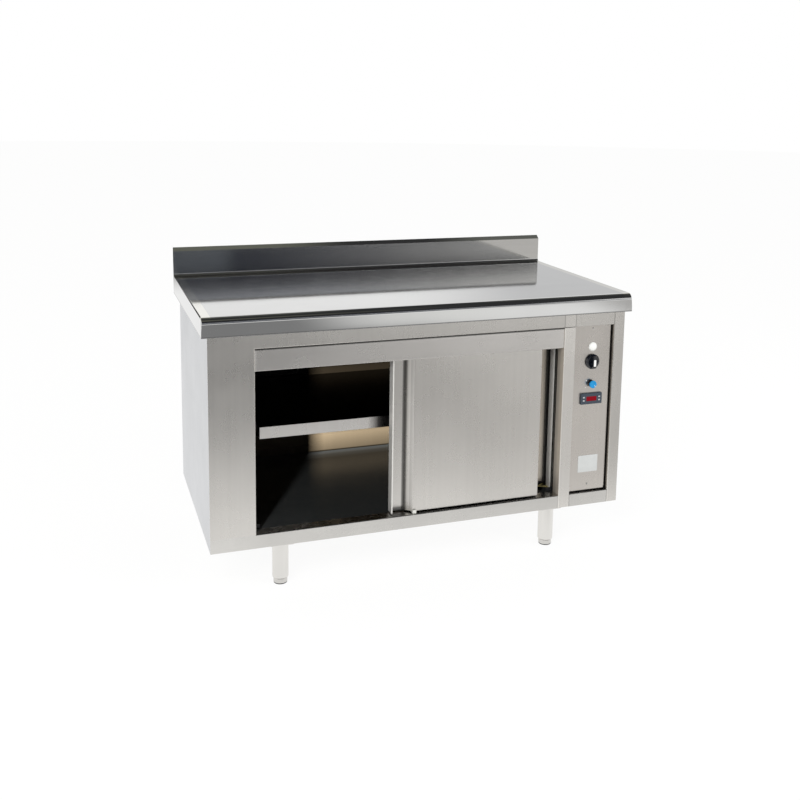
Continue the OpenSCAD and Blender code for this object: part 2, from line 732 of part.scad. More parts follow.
// Pilot lamp: domed lens, barrel through the panel and fixing nut
lamp_rim = 1.5;
lamp_rim_t = 2;
lamp_dome = 3.5;
module pilot_lamp() color("white") {
    turned_to_front(controls_axis, panel_y, lamp_z)
        polygon(concat([[0, 0], [lamp_d / 2, 0], [lamp_d / 2, lamp_rim_t]],
                       [for (a = [0:15:90])
                           [(lamp_d / 2 - lamp_rim) * cos(a), lamp_rim_t + lamp_dome * sin(a)]]));
    rod_y(controls_axis, lamp_z, lamp_barrel_d, panel_y - 1, panel_back + 22);
    rod_y(controls_axis, lamp_z, lamp_barrel_d + 6, panel_back, panel_back + 5);
}

// Rotary switch: a chamfered disc with a grip bar across it, on a shaft that runs in the case
knob_h = 9;
knob_chamfer = 4;
grip_h = 20;
grip_w = 13;
shaft_end_gap = 2;
switch_shaft_l = 25;
module main_knob() color("black") {
    face_y = panel_y - knob_gap;
    turned_to_front(controls_axis, face_y, switch_z, 96)
        polygon([[0, 0], [main_knob_d / 2, 0], [main_knob_d / 2, knob_h - knob_chamfer],
                 [main_knob_d / 2 - knob_chamfer, knob_h], [0, knob_h]]);
    along_y(face_y - grip_h, face_y - knob_h + 0.5) translate([controls_axis, switch_z])
        square([grip_w, main_knob_d - 2.5 * knob_chamfer], center = true);
    rod_y(controls_axis, switch_z, switch_shaft_d, face_y - 1, panel_back + switch_shaft_l);
}

module main_switch() color("ivory") difference() {
    block([controls_axis - switch_case / 2, panel_back, switch_z - switch_case / 2],
          [controls_axis + switch_case / 2, panel_back + switch_depth, switch_z + switch_case / 2]);
    rod_y(controls_axis, switch_z, switch_shaft_d + 2 * run_gap, panel_back - 1,
          panel_back + switch_shaft_l + shaft_end_gap);
}

// Knob with a barrel and a wider cap
thermostat_knob_h = 15;
thermostat_cap_h = 5;
thermostat_shaft_l = 15;
module thermostat_knob() color("dodgerblue") {
    r = thermostat_knob_d / 2;
    cap = thermostat_knob_h - thermostat_cap_h;
    turned_to_front(controls_axis, panel_y - knob_gap, thermostat_z)
        polygon([[0, 0], [r - 1.5, 0], [r - 2, cap], [r, cap], [r, thermostat_knob_h - 1],
                 [r - 1, thermostat_knob_h], [0, thermostat_knob_h]]);
    rod_y(controls_axis, thermostat_z, thermostat_shaft_d, panel_y - knob_gap - 1,
          panel_back + thermostat_shaft_l);
}

// Bulb thermostat: its case behind the panel and a capillary to the probe in the cupboard
module thermostat() color("tan") {
    difference() {
        block([controls_axis - thermostat_case_w / 2, panel_back, thermostat_z - thermostat_case_h / 2],
              [controls_axis + thermostat_case_w / 2, panel_back + thermostat_case_d,
               thermostat_z + thermostat_case_h / 2]);
        rod_y(controls_axis, thermostat_z, thermostat_shaft_d + 2 * run_gap, panel_back - 1,
              panel_back + thermostat_shaft_l + shaft_end_gap);
    }
    rod_y(controls_axis, thermostat_z, capillary_d, panel_back + thermostat_case_d - 1, probe_y);
    translate([controls_axis, probe_y, thermostat_z]) sphere(d = capillary_d, $fn = 24);
    rod_x(probe_y, thermostat_z, capillary_d, probe_x, controls_axis);
    translate([probe_x, probe_y, thermostat_z - probe_l]) cylinder(d = probe_d, h = probe_l + 4);
}

// Digital controller: bezel on the panel, case behind it, pockets for the window and buttons
window_t = 1.5;
window_sunk = 0.2;
bezel_y = panel_y - controller_t;
module controller() color("darkslategray") difference() {
    union() {
        controller_box(bezel_y, panel_y, 0);
        controller_box(bezel_y + 1, panel_back + controller_depth, -bezel_lip - fit_gap);
    }
    window_box(bezel_y - 1);
    for (k = [0:3]) at_button(k)
        cube([button_w + 2 * button_gap, 2 * (button_depth + button_travel), button_h + 2 * button_gap],
             center = true);
}
module window_box(y0)
    block([controls_axis - window_w / 2, y0, controller_z - window_h / 2],
          [controls_axis + window_w / 2, bezel_y + window_t, controller_z + window_h / 2]);
module controller_window() color("darkred") window_box(bezel_y + window_sunk);

// The four buttons stand in two columns, beside the window
module at_button(k)
    translate([controls_axis + (k < 2 ? -1 : 1) * button_x, bezel_y,
               controller_z + (k % 2 == 0 ? 1 : -1) * button_z]) children();
module button(k) color("white") at_button(k)
    translate([-button_w / 2, -button_travel - button_gap, -button_h / 2])
        cube([button_w, button_depth + button_travel, button_h]);
module controller_button_a() button(0);
module controller_button_b() button(1);
module controller_button_c() button(2);
module controller_button_d() button(3);

terminal_count = 5;
terminal_hole_d = 6;
module terminal_block() color("beige") difference() {
    x0 = open_x1 + sheet;
    z0 = gland_z + 20;
    block([x0, fan_y, z0], [x0 + terminal_t, fan_y + terminal_l, z0 + terminal_h]);
    for (k = [0:terminal_count - 1])
        rod_x(fan_y + terminal_l * (k + 0.5) / terminal_count, z0 + terminal_h / 2, terminal_hole_d,
              x0 + terminal_t - 8, x0 + terminal_t + 1);
}

// Cable gland with a hexagonal nut on each face of the back panel
gland_out = 12;
gland_in = 10;
module gland_nut(y1, h)
    translate([gland_x, y1, gland_z]) rotate([90, 0, 0]) cylinder(d = gland_nut_d, h = h, $fn = 6);
module cable_gland() color("dimgray") difference() {
    union() {
        rod_y(gland_x, gland_z, gland_d, body_y1 - sheet - gland_in, body_y1 + gland_out);
        gland_nut(body_y1 + 7, 7);
        gland_nut(body_y1 - sheet, 5);
    }
    rod_y(gland_x, gland_z, gland_bore_d, body_y1 - 2 * gland_in, body_y1 + 2 * gland_out);
}

// ---------------------------------------------------------------- fan heater in the left cavity
fan_plate_t = 2;
motor_back_x = fan_plate_x - fan_plate_t - motor_l;
module fan_motor() color("dimgray") difference() {
    union() {
        block([fan_plate_x - fan_plate_t, fan_y - fan_plate_size / 2, fan_z - fan_plate_size / 2],
              [fan_plate_x, fan_y + fan_plate_size / 2, fan_z + fan_plate_size / 2]);
        for (sy = [-1, 1]) for (sz = [-1, 1])
            rod_x(fan_y + sy * fan_post, fan_z + sz * fan_post, 8, fan_plate_x - 1, fan_wall);
        rod_x(fan_y, fan_z, motor_d, motor_back_x, fan_plate_x - 1);
    }
    rod_x(fan_y, fan_z, shaft_d + 2 * run_gap, motor_back_x + 10, fan_plate_x + 1);
}

// Shrouded wheel with curved blades on a shaft that runs in the motor
blade_count = 12;
blade_l = 26;
hub_wall = 6;
module fan_impeller() color("silver") {
    back_x = fan_wall - fan_gap - impeller_w;
    rod_x(fan_y, fan_z, impeller_d, back_x, back_x + 2);
    rod_x(fan_y, fan_z, shaft_d + 2 * hub_wall, back_x, back_x + impeller_w / 2);
    rod_x(fan_y, fan_z, shaft_d, motor_back_x + 14, back_x + 4);
    for (k = [0:blade_count - 1])
        translate([back_x + 1, fan_y, fan_z]) rotate([360 / blade_count * k, 0, 0])
            translate([0, impeller_d / 2 - blade_l - 4, 0]) rotate([25, 0, 0])
                cube([impeller_w - 1, blade_l, 1.5]);
}

// Ring of sheathed rod round the impeller, with two tails to the motor's plate
module heating_element() color("sienna") {
    translate([element_x, fan_y, fan_z]) rotate([0, 90, 0]) rotate_extrude($fn = 72)
        translate([element_r, 0]) circle(d = rod_d, $fn = 24);
    for (s = [-1, 1]) rod_x(fan_y + s * element_r, fan_z, rod_d, fan_plate_x, element_x);
}

// ---------------------------------------------------------------- legs
module each_leg() for (x = leg_x) for (y = leg_y) translate([x, y, 0]) children();

tube_plug = 6;
module legs() color("silver") each_leg() {
    tube_z0 = foot_h + knob_gap;
    difference() {
        translate([0, 0, tube_z0]) cylinder(d = leg_d, h = body_z0 - tube_z0, $fn = 64);
        translate([0, 0, stem_top + tube_plug]) cylinder(d = leg_d - 2 * sheet, h = body_z0, $fn = 64);
        translate([0, 0, -1]) cylinder(d = stem_d + 2 * run_gap, h = body_z0);
    }
    difference() {
        translate([-leg_plate / 2, -leg_plate / 2, body_z0 - leg_plate_t])
            cube([leg_plate, leg_plate, leg_plate_t]);
        translate([0, 0, body_z0 - leg_plate_t - 1])
            cylinder(d = leg_d - 2 * sheet, h = leg_plate_t + 2, $fn = 64);
    }
}

// Levelling foot: a dished disc on the threaded stem that turns in the leg
module levelling_foot(x, y) color("gray") translate([x, y, 0]) {
    rotate_extrude($fn = 64)
        polygon([[0, 0], [foot_d / 2 - 2, 0], [foot_d / 2, 3], [foot_d / 2, foot_h - 1.5],
                 [foot_d / 2 - 1.5, foot_h], [0, foot_h]]);
    cylinder(d = stem_d, h = stem_top);
}
module foot_front_left() levelling_foot(leg_x[0], leg_y[0]);
module foot_front_right() levelling_foot(leg_x[1], leg_y[0]);
module foot_rear_left() levelling_foot(leg_x[0], leg_y[1]);
module foot_rear_right() levelling_foot(leg_x[1], leg_y[1]);

worktop();
worktop_core();
worktop_stiffeners();
upstand();
left_side_panel();
right_side_panel();
back_panel();
bottom_pan();
left_stile();
right_stile();
centre_post();
top_rail();
bottom_rail();
door_fascia();
cabinet_floor();
inner_left_wall();
inner_right_wall();
inner_back();
inner_ceiling();
insulation();
shelf();
shelf_rails();
door_track();
door_guides();
left_door_skin();
left_door_back();
left_door_insulation();
left_door_hangers();
left_door_wheel_a();
left_door_wheel_b();
right_door_skin();
right_door_back();
right_door_insulation();
right_door_hangers();
right_door_wheel_a();
right_door_wheel_b();
control_panel();
panel_screws();
blank_plate();
pilot_lamp();
main_knob();
main_switch();
thermostat_knob();
thermostat();
controller();
controller_window();
controller_button_a();
controller_button_b();
controller_button_c();
controller_button_d();
fan_motor();
fan_impeller();
heating_element();
terminal_block();
cable_gland();
legs();
foot_front_left();
foot_front_right();
foot_rear_left();
foot_rear_right();
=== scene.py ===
# %% [markdown]
# # A heated plate cabinet in stainless steel
# A kitchen's plate warmer is folded from stainless sheet: a worktop with an upstand, a
# hot cupboard with two sliding doors, and a control bay at the right. The CAD model gives
# every size. This lesson copies its folded sheets, rounds their edges, remodels the small
# controls, and gives each surface the finish of the real material.

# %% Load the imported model
import bpy, bmesh, math
from contextlib import contextmanager
import numpy as np
from mathutils import Vector, Matrix, noise


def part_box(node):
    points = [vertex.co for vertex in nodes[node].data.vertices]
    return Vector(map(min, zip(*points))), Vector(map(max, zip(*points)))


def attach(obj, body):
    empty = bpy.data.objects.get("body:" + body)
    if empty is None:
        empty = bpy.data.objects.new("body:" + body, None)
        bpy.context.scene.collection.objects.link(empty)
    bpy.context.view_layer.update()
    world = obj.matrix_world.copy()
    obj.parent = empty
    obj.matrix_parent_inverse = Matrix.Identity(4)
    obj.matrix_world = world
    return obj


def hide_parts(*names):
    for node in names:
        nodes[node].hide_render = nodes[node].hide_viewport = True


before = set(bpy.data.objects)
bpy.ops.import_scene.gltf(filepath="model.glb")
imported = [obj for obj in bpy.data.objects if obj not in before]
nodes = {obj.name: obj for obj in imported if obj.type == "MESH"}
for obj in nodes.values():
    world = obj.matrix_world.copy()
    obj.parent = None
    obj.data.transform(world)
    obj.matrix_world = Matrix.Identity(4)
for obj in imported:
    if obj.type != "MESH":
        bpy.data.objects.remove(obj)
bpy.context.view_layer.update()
scene = bpy.context.scene
scene.view_settings.view_transform = "Standard"

# %% [markdown]
# ## The camera
# The photograph's perspective gives the camera: corners with known places on the cabinet were
# matched by least squares, with the picture's centre kept in the middle from left to right. The
# cabinet sits a little above the middle of the picture, which a small shift repeats.

# %% Place the camera
LENS, SHIFT = 44.39, -0.1875
YAW, PITCH, ROLL = 0.3331, 0.1522, 0.0142
EYE = Vector((-1.06036, -3.09969, 1.47031))
ahead = Vector((math.sin(YAW) * math.cos(PITCH), math.cos(YAW) * math.cos(PITCH), -math.sin(PITCH)))
level = Vector((math.cos(YAW), -math.sin(YAW), 0))
above = level.cross(ahead)
across = level * math.cos(ROLL) + above * math.sin(ROLL)
upward = above * math.cos(ROLL) - level * math.sin(ROLL)
camera_data = bpy.data.cameras.new("camera")
camera_data.lens, camera_data.sensor_width, camera_data.shift_y = LENS, 36.0, SHIFT
camera = bpy.data.objects.new("camera", camera_data)
camera.matrix_world = Matrix((across, upward, -ahead)).transposed().to_4x4()
camera.matrix_world.translation = EYE
scene.collection.objects.link(camera)
scene.camera = camera
print("camera", round((EYE - Vector((0, 0, 0.5))).length, 2), "m from the cabinet's middle")

# %% [markdown]
# ## Helpers for materials
# A colour is written as the sRGB hex value that an eye sees and turned to the linear value
# that Blender works with. One function adds any node, sets its sockets and properties, and
# draws its links. The short ones after it return the (node, output) pair that the next node
# reads, so that a material reads as a short list.

# %% Colour and node helpers
def linear(code):
    """An sRGB hex colour as linear red, green, blue and alpha."""
    parts = [int(code[i:i + 2], 16) / 255 for i in (1, 3, 5)]
    return [c / 12.92 if c <= 0.04045 else ((c + 0.055) / 1.055) ** 2.4 for c in parts] + [1.0]


def add(tree, kind, settings=None, links=None):
    """A new node: settings name its inputs or properties, links give (node, output) by input."""
    node = tree.nodes.new(kind)
    for key, value in (settings or {}).items():
        if isinstance(key, str) and key not in node.inputs:
            setattr(node, key, value)
    for key, value in (settings or {}).items():
        if not isinstance(key, str) or key in node.inputs:
            node.inputs[key].default_value = value
    for key, (source, output) in (links or {}).items():
        tree.links.new(source.outputs[output], node.inputs[key])
    return node


def new_material(name):
    """An empty node material, its tree, and the object's own coordinates in it."""
    made = bpy.data.materials.new(name)
    made.use_nodes = True
    tree = made.node_tree
    tree.nodes.clear()
    return made, tree, (add(tree, "ShaderNodeTexCoord"), "Object")


def noise_at(tree, spot, scale, detail, **settings):
    """A noise texture read at a spot."""
    return add(tree, "ShaderNodeTexNoise", {"Scale": scale, "Detail": detail, **settings},
               {"Vector": spot}), "Fac"


def ranged(tree, value, low, high, start=0.0, stop=1.0, **settings):
    """A value moved from the range start to stop to the range low to high."""
    return add(tree, "ShaderNodeMapRange", {"From Min": start, "From Max": stop, "To Min": low,
                                            "To Max": high, **settings}, {"Value": value}), 0


def calculate(tree, operation, *operands, **settings):
    """A Math node. An operand is a number or a (node, output) pair."""
    numbers = {k: v for k, v in enumerate(operands) if not isinstance(v, tuple)}
    pairs = {k: v for k, v in enumerate(operands) if isinstance(v, tuple)}
    return add(tree, "ShaderNodeMath", {"operation": operation, **settings, **numbers}, pairs), 0


def varied(tree, colour, share, value):
    """A hex colour that runs from a share darker to a share lighter as the value rises."""
    tone = linear(colour)[:3]
    return add(tree, "ShaderNodeMix", {"data_type": "RGBA", 6: [c * (1 - share) for c in tone] + [1],
                                       7: [min(1, c * (1 + share)) for c in tone] + [1]},
               {0: value}), 2


def tinted(tree, tone, factor):
    """A colour multiplied by a factor."""
    return add(tree, "ShaderNodeMix", {"data_type": "RGBA", "blend_type": "MULTIPLY", 0: 1.0},
               {6: tone, 7: factor}), 2


def surface(tree, shader):
    """Ends a material with its shader."""
    add(tree, "ShaderNodeOutputMaterial", links={"Surface": (shader, 0)})


print("mid grey #808080 is", round(linear("#808080")[0], 3), "linear")

# %% [markdown]
# ## Brushed stainless steel
# The sheet is austenitic stainless steel, satin polished with a belt. The belt leaves fine
# lines in one direction, so a highlight spreads across the lines and stays short along them.
# That is anisotropy, and the tangent says which way it spreads. The real lines are 0.1 mm
# apart, and a pixel here is 3.5 mm wide, so the streaks are drawn 12 mm wide and very faint.
# Rolled sheet is never quite flat and holds finger marks: broad noises stand for these.

# %% Brushed steel
SPREAD = {"x": (0.03, 0.7, 0.7), "z": (1, 0.3, 0.05), "y": (1, 0.03, 0.05)}
STREAK_WIDTH, STREAK_LENGTH = 0.012, 0.7


def brushed_steel(name, colour, roughness, grain, depth=1.0, stretch=0.6, waves=1.0, metallic=1.0,
                  bands=()):
    """Satin steel whose polishing lines run along grain: x, y or z. Each band is (axis, stops): a
    stop is a place in metres and the share of the colour there, for weld lines at seams and for
    painted shade, painted highlights and painted reflections."""
    made, tree, spot = new_material(name)
    scale = [1 / (STREAK_LENGTH if axis == grain else STREAK_WIDTH) for axis in "xyz"]
    lines_at = add(tree, "ShaderNodeMapping", {"Scale": scale}, {"Vector": spot})
    lines = noise_at(tree, (lines_at, 0), 1.0, 1.5)
    cloud = noise_at(tree, spot, 4.0, 2.0, Distortion=0.4)
    marks = noise_at(tree, spot, 14.0, 2.0)
    flow = noise_at(tree, spot, 2.6, 1.0, Roughness=0.4)
    tone = varied(tree, colour, 0.04 * depth, lines)
    tone = tinted(tree, tone, ranged(tree, cloud, 0.96, 1.03, 0.3, 0.7))
    axes = add(tree, "ShaderNodeSeparateXYZ", links={"Vector": spot})
    for axis, stops in bands:
        first, last = stops[0][0], stops[-1][0]
        along = ranged(tree, (axes, "xyz".index(axis)), 0.0, 1.0, first, last)
        ramp = add(tree, "ShaderNodeValToRGB", links={"Fac": along})
        shares = ramp.color_ramp.elements
        while len(shares) < len(stops):
            shares.new(0.5)
        for stop, (where, share) in zip(shares, stops):
            stop.position = (where - first) / (last - first)
        for stop, (where, share) in zip(shares, stops):
            stop.color = (share, share, share, 1)
        tone = tinted(tree, tone, (ramp, 0))
    worn = ranged(tree, marks, roughness * 0.93, roughness * 1.12, 0.35, 0.75)
    grained = ranged(tree, lines, -0.06 * roughness, 0.06 * roughness)
    rough = calculate(tree, "ADD", worn, grained, use_clamp=True)
    wavy = add(tree, "ShaderNodeBump", {"Strength": 0.35 * waves, "Distance": 0.004}, {"Height": flow})
    way = add(tree, "ShaderNodeCombineXYZ", dict(enumerate(SPREAD[grain])))
    surface(tree, add(tree, "ShaderNodeBsdfPrincipled", {"Metallic": metallic, "Anisotropic": stretch},
                      {"Base Color": tone, "Roughness": rough, "Normal": (wavy, 0),
                       "Tangent": (way, 0)}))
    return made


# The WELDS bands stand for the lines that weld grinding leaves at the post and at the right
# stile. The other bands paint light and shade: painted highlights on edges, painted shade in
# folds and gaps and under the shelf, lighter and darker stretches that paint reflections, and
# the painted lit patch on the inner back with its painted reflection on the inner floor.
WELDS = ("x", [(0.46, 1.0), (0.461, 0.7), (0.4635, 0.7), (0.4645, 1.07), (0.5, 1.07),
               (0.501, 0.75), (0.5035, 0.75), (0.5045, 1.0), (0.6425, 1.0), (0.6435, 0.7),
               (0.645, 0.7)])
# Besides the weld lines, the frame's colour is painted darker towards the right as shade.
FRAME = brushed_steel("satin_stainless_front_frame", "#D9D6D1", 0.28, "z",
                      bands=[WELDS, ("x", [(-0.3, 1.0), (0.1, 0.87), (0.645, 0.87)])])
# Besides the weld lines, the rail's colour is painted lighter at its left end as a highlight.
RAIL = brushed_steel("satin_stainless_cross_grain", "#D2D0CC", 0.26, "x",
                     bands=[WELDS, ("x", [(-0.62, 1.14), (-0.5, 1.0)])])
# The post's colour is painted lighter along its left edge as a highlight.
POST = brushed_steel("satin_stainless_post", "#DEDBD6", 0.28, "z",
                     bands=[("x", [(0.462, 1.25), (0.464, 1.2), (0.466, 1.0), (0.502, 1.0)])])
# The stile's colour is painted lighter along its left edge as a highlight, and darker upwards as shade.
STILE = brushed_steel("satin_stainless_right_stile", "#D8D5D0", 0.28, "z",
                      bands=[("x", [(0.645, 1.2), (0.6475, 1.15), (0.6495, 1.0), (0.682, 0.97)]),
                             ("z", [(0.135, 1.02), (0.35, 0.88), (0.79, 0.9)])])
# The panel's colour is painted lightest at mid height and darker towards the top, as light and shade.
PANEL = brushed_steel("satin_stainless_control_panel", "#CFCAC4", 0.28, "z",
                      bands=[("z", [(0.187, 1.03), (0.45, 1.08), (0.62, 0.93), (0.746, 0.9)])])
# The fascia's colour holds a painted shadow line along its top, painted shade along its lower edge and
# a painted highlight along its left edge.
FASCIA = brushed_steel("satin_stainless_fascia", "#D8D5D1", 0.26, "x",
                       bands=[("z", [(0.679, 0.75), (0.6815, 1.0), (0.7415, 1.0), (0.743, 0.22)]),
                              ("x", [(-0.545, 1.4), (-0.542, 1.35), (-0.5405, 0.95), (0.462, 0.95)])])
SIDE = brushed_steel("satin_stainless_side_panel", "#CFD0D2", 0.33, "z")
# The worktop's colour is painted dark along the lower edge of its front fold, as shade.
TOP = brushed_steel("fine_satin_worktop", "#D3D3D2", 0.05, "x", waves=0.06, depth=0.5,
                    bands=[("z", [(0.79, 0.4), (0.793, 0.45), (0.795, 1.0), (0.83, 1.0)])])
TOP_END = brushed_steel("cross_polished_worktop_end", "#EBE9E2", 0.08, "y", waves=0.06, depth=0.5)
UPSTAND = brushed_steel("fine_satin_upstand", "#DAD9D6", 0.06, "x", waves=0.15)
# The lining's colour is painted near black as shade.
INNER = brushed_steel("inner_sheet_painted_shade", "#33312C", 0.25, "z", waves=0.3, metallic=0.8)
# The inner back's warm dark colour holds a painted lit patch under the shelf, painted shade above it
# and a painted dark line at the floor, and it is painted darker towards the right.
INNER_BACK = brushed_steel("inner_back_painted_light_and_shade", "#41392D", 0.25, "z", waves=0.3, metallic=0.6,
                           bands=[("z", [(0.178, 0.08), (0.1815, 0.08), (0.184, 0.45), (0.21, 0.66),
                                         (0.255, 1.1), (0.3, 1.1), (0.45, 0.08)]),
                                  ("x", [(-0.22, 1.1), (-0.12, 0.95), (0.1, 0.8)])])
# The inner floor's colour is painted near black as shade, and brighter towards the back as a painted
# reflection of the lit back wall.
INNER_FLOOR = brushed_steel("inner_floor_painted_shade_and_reflection", "#111212", 0.2, "x", waves=0.3, metallic=0.85,
                            bands=[("y", [(0.22, 1.0), (0.255, 4.0), (0.288, 14.0)])])
# The shelf's top is painted near black as shade.
SHELF_TOP = brushed_steel("shelf_top_painted_shade", "#1C1B19", 0.2, "x", waves=0.1)
# The shelf's front is painted dark towards its right end as the shadow of the door.
SHELF = brushed_steel("satin_stainless_shelf", "#E0DDD9", 0.28, "z",
                      bands=[("x", [(-0.17, 1.0), (-0.15, 0.55), (-0.135, 0.13), (-0.1, 0.11)])])
# The post's left-facing side is painted brighter towards its front edge as a highlight.
FOLD = brushed_steel("fold_side_painted_highlight", "#A79F94", 0.35, "z", metallic=0.4,
                     bands=[("y", [(-0.336, 1.55), (-0.322, 1.5), (-0.312, 1.15), (-0.298, 1.1)])])
# The right stile's left-facing side has a painted highlight at its front edge and painted shade deeper
# in the gap.
GAP_SIDE = brushed_steel("shaded_fold_side", "#A79F94", 0.35, "z", metallic=0.4,
                         bands=[("y", [(-0.338, 1.2), (-0.331, 0.9), (-0.327, 0.1), (-0.298, 0.04)])])
# The doors' lips are a lighter, partly diffuse copy of the steel, painted as a highlight.
LIP = brushed_steel("door_lip_painted_highlight", "#EFEDE8", 0.4, "z", metallic=0.45)
TUBE = brushed_steel("polished_leg_tube", "#E0DEDA", 0.2, "z")
TURNED = brushed_steel("turned_steel_foot", "#D2D0CC", 0.26, "x", waves=0.0)
print("brushed steels:", sum(m.name.startswith(("satin", "fine")) for m in bpy.data.materials))

# %% [markdown]
# ## The other finishes
# Each starts from typical values: plastics have an IOR near 1.5 and no metal, and their
# roughness says how the mould was polished. A fine bump stands for the mould's texture.

# %% Moulded plastics and paint
PLASTIC_IOR, TONE_SHIFT = 1.5, 0.06


def moulded(name, colour, roughness, texture=0.0008, bump=0.04, coat=0.0, specular=0.5):
    """Moulded plastic or paint: one colour that varies a little, with a fine skin."""
    made, tree, spot = new_material(name)
    skin = noise_at(tree, spot, 1 / texture, 2.0)
    cloud = noise_at(tree, spot, 60.0, 2.0)
    relief = add(tree, "ShaderNodeBump", {"Strength": bump, "Distance": 0.0002}, {"Height": skin})
    surface(tree, add(tree, "ShaderNodeBsdfPrincipled",
                      {"IOR": PLASTIC_IOR, "Coat Weight": coat, "Coat Roughness": 0.05,
                       "Specular IOR Level": specular},
                      {"Base Color": varied(tree, colour, TONE_SHIFT, cloud),
                       "Roughness": ranged(tree, cloud, roughness * 0.8, roughness * 1.2),
                       "Normal": (relief, 0)}))
    return made


BLACK = moulded("black_gloss_abs", "#0C1019", 0.14, bump=0.01, coat=0.5)
BLUE = moulded("blue_gloss_abs", "#1E93D2", 0.28, bump=0.02, specular=0.3)
WHITE_INK = moulded("white_pad_print", "#F4F4F2", 0.4)
LENS_WHITE = moulded("milky_lamp_lens", "#F7F7F4", 0.14, coat=0.4, bump=0.01)
LENS_RING = moulded("lamp_ring_polycarbonate", "#F0F0ED", 0.3)
BUTTON = moulded("white_silicone_button", "#BDBFC2", 0.5)
HOUSING = moulded("blue_grey_controller_housing", "#39434F", 0.42, bump=0.08)
WINDOW = moulded("red_display_filter", "#860C1A", 0.15, bump=0.0, specular=0.08)
PLATE = moulded("white_enamelled_plate", "#CFD1D0", 0.35)
NYLON = moulded("white_nylon", "#E8E8E2", 0.42)
DARK_NYLON = moulded("dark_filled_nylon", "#2B2B2D", 0.45, bump=0.1)
CASE = moulded("ivory_switch_case", "#D9D6C8", 0.45)
MOTOR = moulded("black_motor_enamel", "#1C1C1E", 0.5, texture=0.002, bump=0.2)
RUBBER = moulded("black_rubber_glide", "#161617", 0.7, texture=0.0015, bump=0.25)
print("moulded finishes:", len(bpy.data.materials))

# %% [markdown]
# ## Hidden stock: zinc, board, wool and the heater's sheath
# Galvanised sheet grows flat crystals about 8 mm wide, a Voronoi cell pattern. Chipboard is
# pressed from flakes of 2 to 6 mm. Mineral wool is a mat of loose fibre. The heater's sheath
# has been hot, so oxide has turned it brown.

# %% Zinc, chipboard, wool and oxide
def flaked(name, light, dark, cell, roughness, metallic, bump, stretch=(1, 1, 1)):
    """Stock with crystals, flakes or tufts: a cell pattern between two tones."""
    made, tree, spot = new_material(name)
    sized = add(tree, "ShaderNodeMapping", {"Scale": stretch}, {"Vector": spot}), 0
    cells = add(tree, "ShaderNodeTexVoronoi", {"Scale": 1 / cell}, {"Vector": sized})
    split = add(tree, "ShaderNodeSeparateColor", links={"Color": (cells, "Color")})
    both = calculate(tree, "MULTIPLY", (split, 0), noise_at(tree, sized, 3 / cell, 4.0))
    tone = add(tree, "ShaderNodeMix", {"data_type": "RGBA", 6: linear(dark), 7: linear(light)},
               {0: both})
    relief = add(tree, "ShaderNodeBump", {"Strength": bump, "Distance": cell / 8}, {"Height": both})
    surface(tree, add(tree, "ShaderNodeBsdfPrincipled", {"Metallic": metallic, "Roughness": roughness},
                      {"Base Color": (tone, 2), "Normal": (relief, 0)}))
    return made


ZINC = flaked("galvanised_spangle", "#B9BDBE", "#8B9093", 0.008, 0.38, 1.0, 0.05)
BOARD = flaked("raw_chipboard", "#C7A878", "#7C5F3C", 0.004, 0.85, 0.0, 0.4, (1, 1, 2.5))
WOOL = flaked("mineral_wool", "#CFC38A", "#8F8250", 0.003, 0.95, 0.0, 0.8, (1, 0.4, 1))
SHEATH = flaked("heat_tinted_sheath", "#6B5A4C", "#3E352F", 0.006, 0.4, 1.0, 0.05)
print("materials in all:", len(bpy.data.materials))

# %% [markdown]
# ## From CAD sheet to folded metal
# A CAD copy has razor edges and flat facets. Real sheet has a small radius at each cut and
# fold, and that radius catches the light. So each copy is merged, its coplanar triangles are
# joined, its sharp edges get a small bevel, and the folds are shaded smooth. A welded frame
# is joined with a Boolean union first, so that no seam shows where the weld is ground flush.

# %% Copy, weld and soften
made_pieces = []


@contextmanager
def editing(target):
    """Opens the mesh of an object as a bmesh and writes it back at the end."""
    edit = bmesh.new()
    edit.from_mesh(target.data)
    yield edit
    edit.to_mesh(target.data)
    edit.free()


def clean(edit, flat=1.0):
    """Merges doubles and joins the triangles of each flat face."""
    bmesh.ops.remove_doubles(edit, verts=edit.verts, dist=2e-6)
    bmesh.ops.dissolve_limit(edit, angle_limit=math.radians(flat), verts=edit.verts, edges=edit.edges)


def cut(edit, point, normal):
    """Cuts a mesh along a plane and keeps both sides."""
    bmesh.ops.bisect_plane(edit, geom=edit.verts[:] + edit.edges[:] + edit.faces[:], dist=1e-6,
                           plane_co=point, plane_no=normal)


def object_from(name, edit):
    """A linked object at the origin from a bmesh, which is freed."""
    mesh = bpy.data.meshes.new(name)
    edit.to_mesh(mesh)
    edit.free()
    made = bpy.data.objects.new(name, mesh)
    scene.collection.objects.link(made)
    return made


def copy_of(name, *sources):
    """One clean object from copies of CAD nodes."""
    edit = bmesh.new()
    for source in sources:
        edit.from_mesh(nodes[source].data)
    clean(edit)
    return object_from(name, edit)


def welded(name, *sources, reach=0.0):
    """Copies of CAD nodes joined by Boolean union, as a ground weld joins them. Reach runs the
    left ends of the later ones into the first, where weld metal fills its rounded fold."""
    whole = copy_of(name, sources[0])
    for source in sources[1:]:
        other = copy_of(source + "_weld", source)
        left = min(v.co.x for v in other.data.vertices)
        for vertex in other.data.vertices:
            if vertex.co.x < left + 1e-5:
                vertex.co.x -= reach
        union = whole.modifiers.new("weld", "BOOLEAN")
        union.operation, union.solver, union.object = "UNION", "EXACT", other
        evaluated = whole.evaluated_get(bpy.context.evaluated_depsgraph_get())
        joined = bpy.data.meshes.new_from_object(evaluated)
        whole.modifiers.clear()
        whole.data = joined
        bpy.data.objects.remove(other)
    with editing(whole) as edit:
        clean(edit, 0.5)
    return whole


